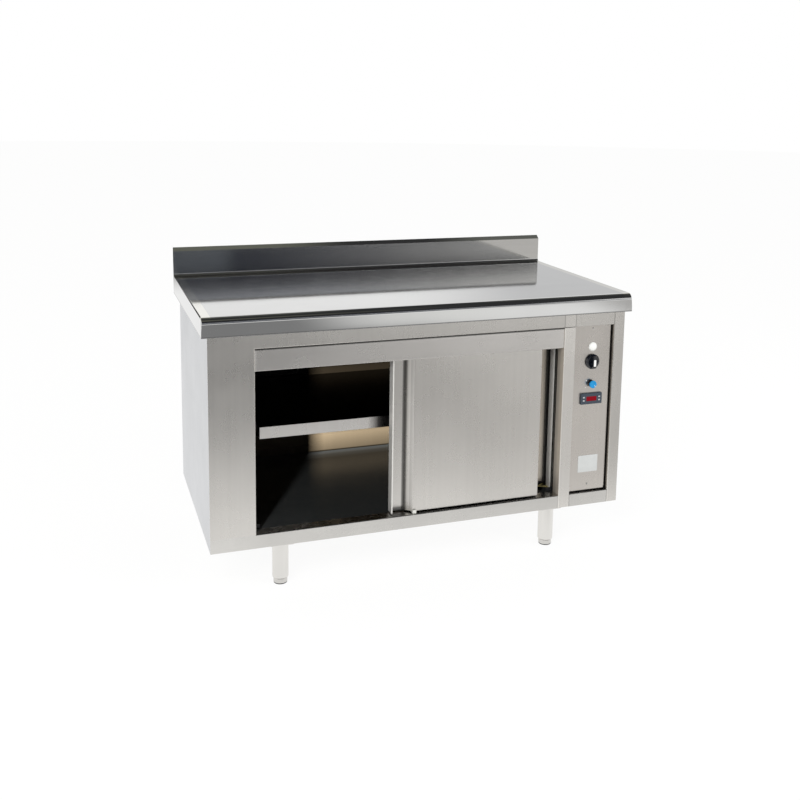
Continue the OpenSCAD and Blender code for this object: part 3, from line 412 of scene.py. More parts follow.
def shade(target, turn=32):
    """Smooth shading with the sharp edges marked."""
    with editing(target) as edit:
        for face in edit.faces:
            face.smooth = True
        for edge in edit.edges:
            edge.smooth = len(edge.link_faces) == 2 and edge.calc_face_angle(0) < math.radians(turn)


def soften(target, radius=0.0004, turn=32, steps=2):
    """A small bevel on sharp edges, with the flat faces kept flat in the shading."""
    shade(target, turn)
    bevel = target.modifiers.new("edge radius", "BEVEL")
    bevel.width, bevel.segments, bevel.limit_method = radius, steps, "ANGLE"
    bevel.angle_limit, bevel.harden_normals = math.radians(turn), True
    bevel.use_clamp_overlap = True
    weigh = target.modifiers.new("flat faces stay flat", "WEIGHTED_NORMAL")
    weigh.weight, weigh.keep_sharp = 100, True


def place(target, body, slot, finishes, *replaced):
    """Gives a piece its finishes and its body, and hides the nodes that it stands for. The slot is not
    used.
    """
    while len(target.data.materials) < len(finishes):
        target.data.materials.append(None)
    for index, finish in enumerate(finishes):
        target.data.materials[index] = finish
    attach(target, body)
    if replaced:
        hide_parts(*replaced)
    made_pieces.append(target.name)
    return target


def sheet_part(name, body, slot, finish, *sources, radius=0.0004, turn=32):
    """A softened copy of CAD nodes in one finish."""
    part = copy_of(name, *sources)
    soften(part, radius, turn)
    return place(part, body, slot, [finish], *sources)


def refinish(part, finish, test):
    """Gives the faces that pass a test a finish of their own: test(middle, normal)."""
    part.data.materials.append(finish)
    index = len(part.data.materials) - 1
    for face in part.data.polygons:
        if test(face.center, face.normal):
            face.material_index = index


print("helpers ready")

# %% [markdown]
# ## The front frame
# The wide left stile and the rails over and under the doors are welded and ground flush, so
# they read as one surface. Below the doors' sill the strip was polished sideways and looks
# cooler, so the mesh is cut there and gets the cross-grained finish.

# %% Weld and finish the front frame
WELD_REACH = 0.0045
FRAME_NODES = ("left_stile", "top_rail", "bottom_rail")
sill_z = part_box("cabinet_floor")[1].z
front_frame = welded("front_frame", *FRAME_NODES, reach=WELD_REACH)
with editing(front_frame) as edit:
    cut(edit, (0, 0, sill_z), (0, 0, 1))
    for face in edit.faces:
        face.material_index = 1 if face.calc_center_median().z < sill_z + 1e-5 else 0
soften(front_frame, 0.0005)
place(front_frame, "root", "stainless", [FRAME, RAIL], *FRAME_NODES)
print("front frame:", len(front_frame.data.polygons), "faces")

# %% The other outer sheets
for name, finish in (("right_stile", STILE), ("centre_post", POST), ("door_fascia", FASCIA),
                     ("left_side_panel", SIDE), ("right_side_panel", SIDE), ("back_panel", SIDE),
                     ("bottom_pan", RAIL)):
    sheet = sheet_part(name + "_sheet", "root", "stainless", finish, name, radius=0.0005)
    if name in ("right_stile", "centre_post"):
        refinish(sheet, FOLD if name == "centre_post" else GAP_SIDE,
                 lambda middle, normal: normal.x < -0.9)
print("outer sheets:", len(made_pieces))

# %% [markdown]
# ## The worktop
# One sheet runs from the bull-nose at the front to the upstand. Its ends are closed by welded
# plates whose corners are ground to about 4 mm, wider than the other edges, so these edges
# are beveled by themselves. The photograph's dark reflection shows a fuller bull-nose than the
# CAD sheet's 16 mm, so its arc is opened to 21 mm within the same outline. The last 28 mm at
# each end were polished across, over the weld.

# %% Weld the worktop to its upstand
END_BAND, CORNER_R, CORNER_DEPTH = 0.028, 0.004, 0.05
NOSE_R, NOSE_MORE = 0.016, 0.005
worktop = welded("worktop_sheet", "worktop", "upstand")
low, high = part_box("worktop")
with editing(worktop) as edit:
    for vertex in edit.verts:
        out = Vector((0, vertex.co.y - low.y - NOSE_R, vertex.co.z - high.z + NOSE_R))
        if vertex.co.y < low.y + NOSE_R + 1e-5 and vertex.co.z > high.z - NOSE_R - 1e-5:
            vertex.co += Vector((0, NOSE_MORE, -NOSE_MORE)) + out.normalized() * NOSE_MORE
    rounded = [e for e in edit.edges if e.calc_face_angle(0) > 1 and all(
        abs(abs(v.co.x) - high.x) < 1e-5 and v.co.y < high.y + 1e-4
        and v.co.z > high.z - CORNER_DEPTH for v in e.verts)]
    bmesh.ops.bevel(edit, geom=rounded, offset=CORNER_R, segments=5, affect="EDGES", profile=0.5)
    for side in (-1, 1):
        cut(edit, (side * (high.x - END_BAND), 0, 0), (1, 0, 0))
    for face in edit.faces:
        middle = face.calc_center_median()
        on_end = abs(middle.x) > high.x - END_BAND and middle.z > high.z - 0.01
        face.material_index = 2 if middle.y > high.y else 1 if on_end and middle.y < high.y else 0
soften(worktop, 0.0007, turn=34, steps=3)
place(worktop, "root", "stainless_top", [TOP, TOP_END, UPSTAND], "worktop", "upstand")
print("worktop:", len(rounded), "corner edges rounded,", len(worktop.data.polygons), "faces")

# %% [markdown]
# ## Inside the hot cupboard
# The lining is the same sheet, its colour painted dark as shade, and it only shows in the dark
# of the open door. The shelf is a tray with folded edges.

# %% Lining, shelf and rails
for name in ("cabinet_floor", "inner_left_wall", "inner_right_wall", "inner_back", "inner_ceiling",
             "shelf_rails"):
    finish = {"cabinet_floor": INNER_FLOOR, "inner_back": INNER_BACK}.get(name, INNER)
    sheet_part(name + "_sheet", "root", "stainless_inner", finish, name, radius=0.0003)
tray = sheet_part("shelf_tray", "root", "stainless_inner", SHELF, "shelf", radius=0.0006)
refinish(tray, SHELF_TOP, lambda middle, normal: normal.z > 0.9)
sheet_part("door_track_rail", "root", "stainless_inner", INNER, "door_track", radius=0.0002)
print("lining sheets done:", len(made_pieces), "pieces")

# %% [markdown]
# ## The sliding doors
# Each door is a folded skin with a finger channel down one edge, a back tray, and two hangers
# on grooved nylon wheels. The skins keep the CAD section; their cut edges get a radius.

# %% Door skins, trays, hangers and wheels
low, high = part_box("left_door_skin")
# The front door's finger channel: painted shade in a dark strip along the inner corner of its slope,
# and lighter and darker stripes that paint its reflections.
LEFT_FOLD = [(low.x + at, share) for at, share in (
    (0.0, 1.0), (0.0055, 0.95), (0.0385, 0.98), (0.0414, 0.4), (0.0447, 0.22), (0.048, 0.15),
    (0.0513, 0.28), (0.0546, 0.8), (0.059, 0.93), (0.0612, 0.88), (0.0623, 0.74),
    (0.0656, 0.77), (0.0689, 0.85), (0.0722, 1.0))]
low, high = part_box("right_door_skin")
# The rear door's channel floor is a lighter copy of the steel with a painted dark strip beside the lip,
# as dark reflection and shade, and a painted highlight on the lip's edge.
CHANNEL_FOLD = [(high.x - at, share) for at, share in (
    (0.038, 1.0), (0.0268, 0.95), (0.0231, 0.72), (0.0193, 0.37), (0.0156, 0.07), (0.0119, 0.02),
    (0.005, 0.02), (0.0042, 0.3), (0.0038, 1.15), (0.0, 1.15))]
CHANNEL = brushed_steel("channel_floor_painted_reflection", "#F4F2EE", 0.12, "z", stretch=0.3, waves=0.3,
                        bands=[("x", CHANNEL_FOLD)])
DOOR_FINISH = {"left": brushed_steel("satin_stainless_front_door", "#D8D5D0", 0.28, "z",
                                     bands=[("x", LEFT_FOLD)]),
               "right": brushed_steel("satin_stainless_rear_door", "#D8D5D0", 0.28, "z")}
for side in ("left", "right"):
    body = side + "_door"
    face = sheet_part(side + "_door_face", body, "stainless", DOOR_FINISH[side],
                      side + "_door_skin", radius=0.0006)
    low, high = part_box(side + "_door_skin")
    lip_x = low.x + 0.002 if side == "left" else high.x - 0.002
    refinish(face, LIP, lambda middle, normal: abs(middle.x - lip_x) < 0.003 and normal.y < 0.5)
    if side == "right":
        refinish(face, CHANNEL, lambda middle, normal: normal.y < -0.9 and middle.y > low.y + 0.02
                 and high.x - 0.046 < middle.x < high.x - 0.005)
    sheet_part(side + "_door_tray", body, "stainless_inner", INNER, side + "_door_back")
    sheet_part(side + "_door_straps", body, "galvanised", ZINC, side + "_door_hangers",
               radius=0.0003)
    for wheel in ("a", "b"):
        node = f"{side}_door_wheel_{wheel}"
        sheet_part(node + "_tyre", node, "nylon_dark", DARK_NYLON, node)
guides = sheet_part("floor_guides", "root", "nylon_white", NYLON, "door_guides", radius=0.0008)
refinish(guides, DARK_NYLON, lambda middle, normal: abs(middle.x) > 0.2)
print("doors done:", len(made_pieces), "pieces")

# %% [markdown]
# ## Mineral wool
# The blankets are soft, so a flat CAD block won't do. Each copy is cut into a grid and its
# points are pushed inwards by up to 3 mm of noise, so that it looks like cut wool and stays
# within its space.

# %% Wool blankets
def wool(name, body, source, cell=0.03, push=0.003):
    """A copy of a CAD block with a tufted surface that stays inside it."""
    edit = bmesh.new()
    edit.from_mesh(nodes[source].data)
    clean(edit)
    for axis in range(3):
        low = min(v.co[axis] for v in edit.verts)
        high = max(v.co[axis] for v in edit.verts)
        normal = Vector([float(axis == k) for k in range(3)])
        for step in range(1, int((high - low) / cell)):
            cut(edit, normal * (low + step * cell), normal)
    edit.normal_update()
    moves = {v: v.normal * -push * (0.5 + 0.5 * noise.noise(v.co * 60)) for v in edit.verts}
    for vertex, move in moves.items():
        vertex.co += move
    blanket = object_from(name, edit)
    shade(blanket, 60)
    return place(blanket, body, "mineral_wool", [WOOL], source)


wool("body_blankets", "root", "insulation", 0.05)
for side in ("left", "right"):
    wool(side + "_door_blanket", side + "_door", side + "_door_insulation")
print("blankets done")

# %% [markdown]
# ## The control panel
# The panel is a folded tray behind the frame, with a narrow lip turned out at its right and
# lower edges, which half closes the gap. Its two screws are alike, so Geometry Nodes make
# them: a small tree builds one pan head from its diameter and stands it at each screw hole.

# %% Panel sheet and the axis of the controls
LIP_T, SIDE_LIP, LOW_LIP = 0.0012, 0.0036, 0.0052
panel = copy_of("control_panel_sheet", "control_panel")
low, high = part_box("control_panel")
with editing(panel) as edit:
    for centre, size in (((high.x + 0.0012, low.y + 0.003, (low.z + high.z) / 2),
                          (SIDE_LIP, LIP_T, high.z - low.z)),
                         (((low.x + high.x) / 2, low.y + 0.001, low.z - 0.002),
                          (high.x - low.x, LIP_T, LOW_LIP))):
        made = bmesh.ops.create_cube(edit, size=1.0)["verts"]
        bmesh.ops.scale(edit, vec=size, verts=made)
        bmesh.ops.translate(edit, vec=centre, verts=made)
soften(panel, 0.0005)
place(panel, "root", "stainless", [PANEL], "control_panel")
axis_x = sum(p.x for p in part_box("pilot_lamp")) / 2
panel_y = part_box("control_panel")[0].y
print("controls stand on x =", round(axis_x, 4), "in the plane y =", round(panel_y, 4))


# %% Shapes turned round an axis that points to the front
def turned(profile, x, y, z, steps=64, axis="y"):
    """A closed solid turned from (radius, distance) points, distance running to the front."""
    edit = bmesh.new()
    rings = []
    for radius, out in profile:
        if radius < 1e-7:
            rings.append([edit.verts.new((0, 0, out))])
            continue
        rings.append([edit.verts.new((radius * math.cos(k * math.tau / steps),
                                      radius * math.sin(k * math.tau / steps), out))
                      for k in range(steps)])
    for low, high in zip(rings, rings[1:]):
        for k in range(steps):
            after = (k + 1) % steps
            loop = [low[k % len(low)], low[after % len(low)], high[after % len(high)],
                    high[k % len(high)]]
            corners = list(dict.fromkeys(loop))
            if len(corners) > 2:
                edit.faces.new(corners)
    turn = Matrix.Rotation(math.pi / 2, 4, "X") if axis == "y" else Matrix.Identity(4)
    bmesh.ops.transform(edit, matrix=Matrix.Translation((x, y, z)) @ turn, verts=edit.verts)
    bmesh.ops.recalc_face_normals(edit, faces=edit.faces)
    return edit


def arc(centre, radius, start, stop, steps=6):
    """Points on an arc of a section, in (radius, distance)."""
    return [(centre[0] + radius * math.cos(math.radians(start + (stop - start) * k / steps)),
             centre[1] + radius * math.sin(math.radians(start + (stop - start) * k / steps)))
            for k in range(steps + 1)]


def rod(radius, back, front):
    """The section of a plain rod."""
    return [(0, back), (radius, back), (radius, front), (0, front)]


def joined(name, *edits):
    """One object from several bmeshes."""
    whole = bmesh.new()
    for edit in edits:
        part = bpy.data.meshes.new("part")
        edit.to_mesh(part)
        edit.free()
        whole.from_mesh(part)
        bpy.data.meshes.remove(part)
    return object_from(name, whole)


def solid(name, body, slot, finish, turn, edits, *replaced):
    """A piece joined from bmeshes, shaded and placed."""
    made = joined(name, *edits)
    shade(made, turn)
    return place(made, body, slot, [finish], *replaced)


print("turning helpers ready")

# %% [markdown]
# ## Rounded blocks
# Buttons, plates and pointers are blocks with rounded corners. A Bevel on a plain block gives
# the same radius everywhere, but these have wide corners and a small face radius, so the
# outline is drawn and lofted.

# %% Rounded block helper
def rounded_block(x, z, width, height, back, front, corner, edge, dome=0.0, steps=5):
    """A block seen from the front, with corner radii, an edge radius and a domed face."""
    edit = bmesh.new()

    def outline(inset, y):
        w, h, r = width / 2 - inset, height / 2 - inset, max(corner - inset, 1e-5)
        points = []
        for cx, cz, start in ((w - r, h - r, 0), (-w + r, h - r, 90), (-w + r, -h + r, 180),
                              (w - r, -h + r, 270)):
            for k in range(steps + 1):
                angle = math.radians(start + 90 * k / steps)
                points.append(edit.verts.new((x + cx + r * math.cos(angle), y,
                                              z + cz + r * math.sin(angle))))
        return points

    rings = [outline(0, back)]
    for k in range(5):
        angle = math.radians(22.5 * k)
        rings.append(outline(edge * (1 - math.cos(angle)), front + edge * (1 - math.sin(angle))))
    if dome:
        rings.append(outline(min(width, height) * 0.25, front - dome * 0.8))
    for low, high in zip(rings, rings[1:]):
        for k in range(len(low)):
            after = (k + 1) % len(low)
            edit.faces.new((low[k], low[after], high[after], high[k]))
    edit.faces.new(rings[0])
    if dome:
        tip = edit.verts.new((x, front - dome, z))
        last = rings[-1]
        for k in range(len(last)):
            edit.faces.new((last[k], last[(k + 1) % len(last)], tip))
    else:
        edit.faces.new(rings[-1])
    bmesh.ops.recalc_face_normals(edit, faces=edit.faces)
    return edit


def block_for(name, node, body, slot, finish, corner, edge, dome=0.0, sunk=0.0, turn=40):
    """A rounded block in the box of a CAD node, with its face sunk where asked."""
    low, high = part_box(node)
    block = rounded_block((low.x + high.x) / 2, (low.z + high.z) / 2, high.x - low.x, high.z - low.z,
                          high.y, low.y + sunk, corner, edge, dome)
    return solid(name, body, slot, finish, turn, [block], node)


print("block helper ready")

# %% Screws made by Geometry Nodes
def node_group(name, **inputs):
    """A Geometry Nodes tree with points, named numbers and a material as inputs. A tree's
    geometry input has to come first."""
    tree = bpy.data.node_groups.new(name, "GeometryNodeTree")
    tree.interface.new_socket("Points", in_out="INPUT", socket_type="NodeSocketGeometry")
    for label, value in inputs.items():
        kind = "NodeSocketInt" if isinstance(value, int) else "NodeSocketFloat"
        tree.interface.new_socket(label, in_out="INPUT", socket_type=kind).default_value = value
    tree.interface.new_socket("Material", in_out="INPUT", socket_type="NodeSocketMaterial")
    tree.interface.new_socket("Geometry", in_out="OUTPUT", socket_type="NodeSocketGeometry")
    return tree, add(tree, "NodeGroupInput")


def end_group(tree, start, instances):
    """Makes the instances real, gives them the material and ends the tree."""
    real = add(tree, "GeometryNodeRealizeInstances", links={0: (instances, 0)})
    coated = add(tree, "GeometryNodeSetMaterial",
                 links={"Geometry": (real, 0), "Material": (start, "Material")})
    add(tree, "NodeGroupOutput", links={0: (coated, 0)})


def grown(name, tree, finish, base, **values):
    """Runs a tree on a base mesh and returns the result as a plain object."""
    host = object_from(name + "_host", base)
    grow = host.modifiers.new("grow", "NODES")
    grow.node_group = tree
    for item in tree.interface.items_tree:
        if item.in_out == "INPUT" and item.name in values:
            grow[item.identifier] = values[item.name]
        if item.in_out == "INPUT" and item.name == "Material":
            grow[item.identifier] = finish
    evaluated = host.evaluated_get(bpy.context.evaluated_depsgraph_get())
    result = bpy.data.objects.new(name, bpy.data.meshes.new_from_object(evaluated))
    scene.collection.objects.link(result)
    host.modifiers.clear()
    bpy.data.objects.remove(host)
    return result


HEAD_D, SHANK_D, SCREW_L = 0.0078, 0.004, 0.0078
HEAD_FLAT, SLOT_LONG, SLOT_THIN, SLOT_DEEP = 0.62, 0.62, 0.1, 0.0016
tree, start = node_group("panel screw", Head=HEAD_D, Shank=SHANK_D, Length=SCREW_L)
head, shank_d, length = ((start, label) for label in ("Head", "Shank", "Length"))
dome = add(tree, "GeometryNodeMeshUVSphere", {"Segments": 24, "Rings": 12},
           {"Radius": calculate(tree, "MULTIPLY", head, 0.5)})
pan = add(tree, "GeometryNodeTransform", {"Scale": (1, 1, HEAD_FLAT)}, {"Geometry": (dome, 0)})
shank = add(tree, "GeometryNodeMeshCylinder", {"Vertices": 16},
            {"Radius": calculate(tree, "MULTIPLY", shank_d, 0.5), "Depth": length})
sunk = add(tree, "ShaderNodeCombineXYZ", links={"Z": calculate(tree, "MULTIPLY", length, -0.5)})
shank_at = add(tree, "GeometryNodeTransform",
               links={"Geometry": (shank, 0), "Translation": (sunk, 0)})
cross = add(tree, "GeometryNodeMeshBoolean", {"operation": "DIFFERENCE"}, {"Mesh 1": (pan, 0)})
for long_axis, thin_axis in ("XY", "YX"):
    size = add(tree, "ShaderNodeCombineXYZ", {"Z": SLOT_DEEP},
               {long_axis: calculate(tree, "MULTIPLY", head, SLOT_LONG),
                thin_axis: calculate(tree, "MULTIPLY", head, SLOT_THIN)})
    arm = add(tree, "GeometryNodeMeshCube", links={"Size": (size, 0)})
    arm_at = add(tree, "GeometryNodeTransform", {"Translation": (0, 0, 0.0026)}, {"Geometry": (arm, 0)})
    tree.links.new(arm_at.outputs[0], cross.inputs["Mesh 2"])
screw = add(tree, "GeometryNodeJoinGeometry", links={"Geometry": (cross, 0)})
tree.links.new(shank_at.outputs[0], screw.inputs[0])
end_group(tree, start, add(tree, "GeometryNodeInstanceOnPoints", {"Rotation": (math.pi / 2, 0, 0)},
                           {"Points": (start, "Points"), "Instance": (screw, 0)}))
low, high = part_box("panel_screws")
holes = bmesh.new()
for z in (low.z + 0.004, high.z - 0.004):
    holes.verts.new((axis_x, panel_y + 0.0002, z))
screws = grown("panel_screw_pair", tree, TURNED, holes)
shade(screws, 40)
place(screws, "root", "foot_steel", [TURNED], "panel_screws")
print("screws:", len(screws.data.polygons), "faces")

# %% [markdown]
# ## The pilot lamp
# A milky snap-in lens in a thin ring. The lens is a turned dome; behind the panel are its
# barrel and nut.

# %% Pilot lamp
lamp_low, lamp_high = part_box("pilot_lamp")
lamp_z = (lamp_low.z + lamp_high.z) / 2
lamp_r = (lamp_high.x - lamp_low.x) / 2
ring_section = [(0, 0), (lamp_r - 0.0002, 0)] + arc((lamp_r - 0.0008, 0.0012), 0.0008, 0, 90) + \
    [(lamp_r - 0.0014, 0.002), (lamp_r - 0.0018, 0.0012), (0, 0.0012)]
lens_section = [(0, 0.0005), (lamp_r - 0.0021, 0.0005), (lamp_r - 0.002, 0.0018)] + \
    [((lamp_r - 0.002) * math.cos(a), 0.0018 + 0.0036 * math.sin(a))
     for a in np.linspace(0.12, math.pi / 2 - 0.001, 12)] + [(0, 0.0054)]
ring = joined("lamp_ring", turned(ring_section, axis_x, panel_y, lamp_z),
              turned(rod(0.01, -0.0235, 0.0001), axis_x, panel_y, lamp_z),
              turned([(0.0101, -0.0065), (0.013, -0.0065), (0.013, -0.0015), (0.0101, -0.0015),
                      (0.0101, -0.0065)], axis_x, panel_y, lamp_z, steps=6))
soften(ring, 0.0002)
place(ring, "root", "lamp_white", [LENS_RING], "pilot_lamp")
solid("lamp_lens", "root", "lamp_white", LENS_WHITE, 50,
      [turned(lens_section, axis_x, panel_y, lamp_z, 96)])
print("lamp radius", round(lamp_r * 1000, 1), "mm")

# %% [markdown]
# ## The main switch knob
# A glossy moulded knob: a chamfered disc with a grip bar across it, and a white pointer
# inlaid in the bar. The bar's sides lean in a little, as the mould needs.

# %% Main knob
knob_low, knob_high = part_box("main_knob")
knob_z = (knob_low.z + knob_high.z) / 2
knob_r = (knob_high.x - knob_low.x) / 2
face_y = panel_y - 0.0003
disc_section = [(0, 0), (knob_r - 0.0006, 0)] + arc((knob_r - 0.0006, 0.0006), 0.0006, -90, 0, 3) + \
    arc((knob_r - 0.0012, 0.0042), 0.0012, 0, 45, 3) + \
    arc((knob_r - 0.0052, 0.0076), 0.0014, 45, 90, 4) + \
    [(knob_r - 0.0075, 0.009), (knob_r - 0.0085, 0.0082), (0, 0.0082)]
disc = turned(disc_section, axis_x, face_y, knob_z, 128)
stem = turned(rod(0.003, -0.027, 0.001), axis_x, face_y, knob_z, 32)
GRIP_W, GRIP_L, GRIP_SQUARE, GRIP_POINTS = 0.013, 0.04, 0.32, 48
levels = [(0.006, 1.1), (0.012, 1.03), (0.0175, 0.99), (0.0192, 0.93), (0.0199, 0.82), (0.02, 0.6)]
bar = bmesh.new()
rings = []
for out, share in levels:
    rings.append([])
    half_w, half_l = GRIP_W / 2 * share, GRIP_L / 2 * (0.75 + 0.25 * share)
    for k in range(GRIP_POINTS):
        c, s = math.cos(k * math.tau / GRIP_POINTS), math.sin(k * math.tau / GRIP_POINTS)
        rings[-1].append(bar.verts.new((axis_x + half_w * math.copysign(abs(c) ** GRIP_SQUARE, c),
                                        face_y - out,
                                        knob_z + half_l * math.copysign(abs(s) ** GRIP_SQUARE, s))))
for lower, upper in zip(rings, rings[1:]):
    for k in range(GRIP_POINTS):
        after = (k + 1) % GRIP_POINTS
        bar.faces.new((lower[k], lower[after], upper[after], upper[k]))
bar.faces.new(rings[0])
bar.faces.new(rings[-1])
bmesh.ops.recalc_face_normals(bar, faces=bar.faces)
solid("main_switch_knob", "main_knob", "black_plastic", BLACK, 40, [disc, bar, stem], "main_knob")
POINTER_W, POINTER_L = 0.008, 0.022
solid("main_switch_pointer", "main_knob", "lamp_white", WHITE_INK, 40,
      [rounded_block(axis_x, knob_z - 0.002, POINTER_W, POINTER_L, face_y - 0.0192, face_y - 0.0202,
                     0.001, 0.0002)])
print("knob", round(knob_r * 2000, 1), "mm across")

# %% [markdown]
# ## The thermostat knob
# A blue cap on a dark ribbed barrel. The ribs repeat round the barrel, so Geometry Nodes set
# one rib on each point of a circle. A white index sits on the cap's rim, and two printed dots
# on the panel mark the ends of its travel.

# %% Ribs by Geometry Nodes
RIB_W, RIB_H = 0.0011, 0.009
tree, start = node_group("barrel ribs", Count=24, Radius=0.0107, Height=RIB_H, Width=RIB_W)
circle = add(tree, "GeometryNodeMeshCircle",
             links={"Vertices": (start, "Count"), "Radius": (start, "Radius")})
rib = add(tree, "GeometryNodeMeshCylinder", {"Vertices": 8},
          {"Radius": (start, "Width"), "Depth": (start, "Height")})
end_group(tree, start, add(tree, "GeometryNodeInstanceOnPoints",
                           links={"Points": (circle, 0), "Instance": (rib, 0)}))
dial_low, dial_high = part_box("thermostat_knob")
dial_z = (dial_low.z + dial_high.z) / 2
dial_r = (dial_high.x - dial_low.x) / 2
ribs = grown("dial_ribs", tree, BLACK, bmesh.new(), Radius=dial_r - 0.0021)
ribs.data.transform(Matrix.Translation((axis_x, face_y - 0.0052, dial_z)) @
                    Matrix.Rotation(math.pi / 2, 4, "X"))
print("ribs:", len(ribs.data.polygons), "faces")

# %% Dial cap, barrel and index
barrel = turned([(0, 0), (dial_r - 0.0016, 0), (dial_r - 0.0016, 0.0008), (dial_r - 0.0022, 0.0012),
                 (dial_r - 0.0022, 0.0102), (0, 0.0102)], axis_x, face_y, dial_z)
shaft = turned(rod(0.003, -0.0165, 0.001), axis_x, face_y, dial_z, 32)
ribs_edit = bmesh.new()
ribs_edit.from_mesh(ribs.data)
bpy.data.objects.remove(ribs)
solid("dial_barrel", "thermostat_knob", "black_plastic", BLACK, 40, [barrel, shaft, ribs_edit],
      "thermostat_knob")
cap_section = [(0, 0.0101), (dial_r - 0.0004, 0.0101)] + \
    arc((dial_r - 0.0004, 0.0105), 0.0004, -90, 0, 3) + \
    arc((dial_r - 0.0011, 0.0139), 0.0011, 0, 90, 5) + \
    [(dial_r - 0.003, 0.015), (dial_r - 0.0038, 0.0144), (0, 0.0142)]
solid("dial_cap", "thermostat_knob", "blue_plastic", BLUE, 40,
      [turned(cap_section, axis_x, face_y, dial_z, 96)])


def turned_block(name, centre, angle, reach, length, width, back, front):
    """A small mark at a reach and angle from a centre, pointing outwards."""
    edit = rounded_block(0, 0, length, width, back, front, width * 0.3, 0.0001)
    spin = Matrix.Translation((centre[0], 0, centre[1])) @ \
        Matrix.Rotation(-math.radians(angle), 4, "Y") @ Matrix.Translation((reach, 0, 0))
    bmesh.ops.transform(edit, matrix=spin, verts=edit.verts)
    return joined(name, edit)


index = turned_block("dial_index", (axis_x, dial_z), -40, dial_r - 0.0042, 0.006, 0.0018,
                     face_y - 0.0141, face_y - 0.01515)
place(index, "thermostat_knob", "lamp_white", [WHITE_INK])
dots = joined("dial_travel_dots", *(
    turned([(0, 0), (0.0017, 0), (0.0017, 0.00012), (0, 0.00015)],
           axis_x + reach * math.cos(math.radians(angle)), panel_y,
           dial_z + reach * math.sin(math.radians(angle)), 24)
    for reach, angle in ((0.0205, 149), (0.024, 212))))
place(dots, "root", "lamp_white", [WHITE_INK])
print("dial", round(dial_r * 2000, 1), "mm across")

# %% [markdown]
# ## The digital controller
# A snap-in housing with a tinted window and four soft buttons. The housing is the CAD solid
# with softer edges; the window and the buttons are drawn again with real corners.

# %% Controller, window and buttons
sheet_part("controller_housing", "root", "controller_grey", HOUSING, "controller", radius=0.0008)
block_for("display_filter", "controller_window", "root", "red_window", WINDOW, 0.0008, 0.0003, 0.0001)
for letter in "abcd":
    block_for("controller_key_" + letter, "controller_button_" + letter, "button_" + letter,
              "button_white", BUTTON, 0.0011, 0.0005, 0.0003, sunk=0.0003, turn=50)
block_for("bare_plate", "blank_plate", "root", "plate_white", PLATE, 0.002, 0.0002)
print("controls done:", len(made_pieces), "pieces")

# %% [markdown]
# ## Legs and levelling feet
# Each leg is a polished tube with a turned steel foot on a threaded stem. A black glide is
# pressed into the foot's underside, so the steel doesn't scratch the floor.

# %% Legs and feet
sheet_part("leg_tubes", "root", "leg_steel", TUBE, "legs", turn=25)
for corner in ("front_left", "front_right", "rear_left", "rear_right"):
    low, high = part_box("foot_" + corner)
    x, y, r = (low.x + high.x) / 2, (low.y + high.y) / 2, (high.x - low.x) / 2
    steel = [(0, 0.0032), (r - 0.0006, 0.0032), (r - 0.0001, 0.0038)] + \
        arc((r - 0.0012, 0.0166), 0.0012, 0, 60, 4) + [(0.0165, 0.019), (0.015, 0.0198),
                                                       (0.006, 0.0198), (0.006, 0.0496), (0, 0.05)]
    solid(f"foot_{corner}_disc", "foot_" + corner, "foot_steel", TURNED, 30,
          [turned(steel, x, y, 0, axis="z")], "foot_" + corner)
    glide = [(0, 0), (r - 0.003, 0)] + arc((r - 0.0022, 0.0016), 0.0016, -90, 0, 4) + \
        [(r - 0.0006, 0.0032), (0, 0.0033)]
    solid(f"foot_{corner}_glide", "foot_" + corner, "nylon_dark", RUBBER, 40,
          [turned(glide, x, y, 0, axis="z")])
print("feet done:", len(made_pieces), "pieces")

# %% [markdown]
# ## The parts out of sight
# The fan, the heater, the switch bodies and the stiffeners keep the CAD shape, with their
# edges softened and the finish of the real part.

# %% Fan, heater, cases and stock
for node, body, slot, finish in (
        ("fan_motor", "root", "motor_black", MOTOR),
        ("fan_impeller", "fan_impeller", "galvanised", ZINC),
        ("heating_element", "root", "element_steel", SHEATH),
        ("main_switch", "root", "switch_body", CASE), ("thermostat", "root", "switch_body", CASE),
        ("terminal_block", "root", "switch_body", CASE),
        ("cable_gland", "root", "nylon_dark", DARK_NYLON),
        ("worktop_stiffeners", "root", "galvanised", ZINC),
        ("worktop_core", "root", "chipboard", BOARD)):
    sheet_part(node + "_body", body, slot, finish, node, turn=28)
print("all pieces:", len(made_pieces))

# %% [markdown]
# ## Floor, light and studio
# The floor is pale and keeps a soft shadow. To the camera and to metal it shows near white,
# through Is Camera Ray and Is Glossy Ray, so no extra light falls on the cabinet. Polished
# steel shows what stands round it, so the studio holds dark and pale cards where the metal must
# go dark or light: these are seen by glossy rays only.

# %% Floor and world
def seen_directly(tree):
    """1 for a ray from the camera, a mirror or glass, else 0."""
    path = add(tree, "ShaderNodeLightPath")
    seen = calculate(tree, "MAXIMUM", (path, "Is Camera Ray"), (path, "Is Glossy Ray"))
    return calculate(tree, "MAXIMUM", seen, (path, "Is Transmission Ray"))


def mixed(tree, share, first, second):
    """Ends a material with a share of the second shader over the first."""
    surface(tree, add(tree, "ShaderNodeMixShader", links={0: share, 1: (first, 0), 2: (second, 0)}))


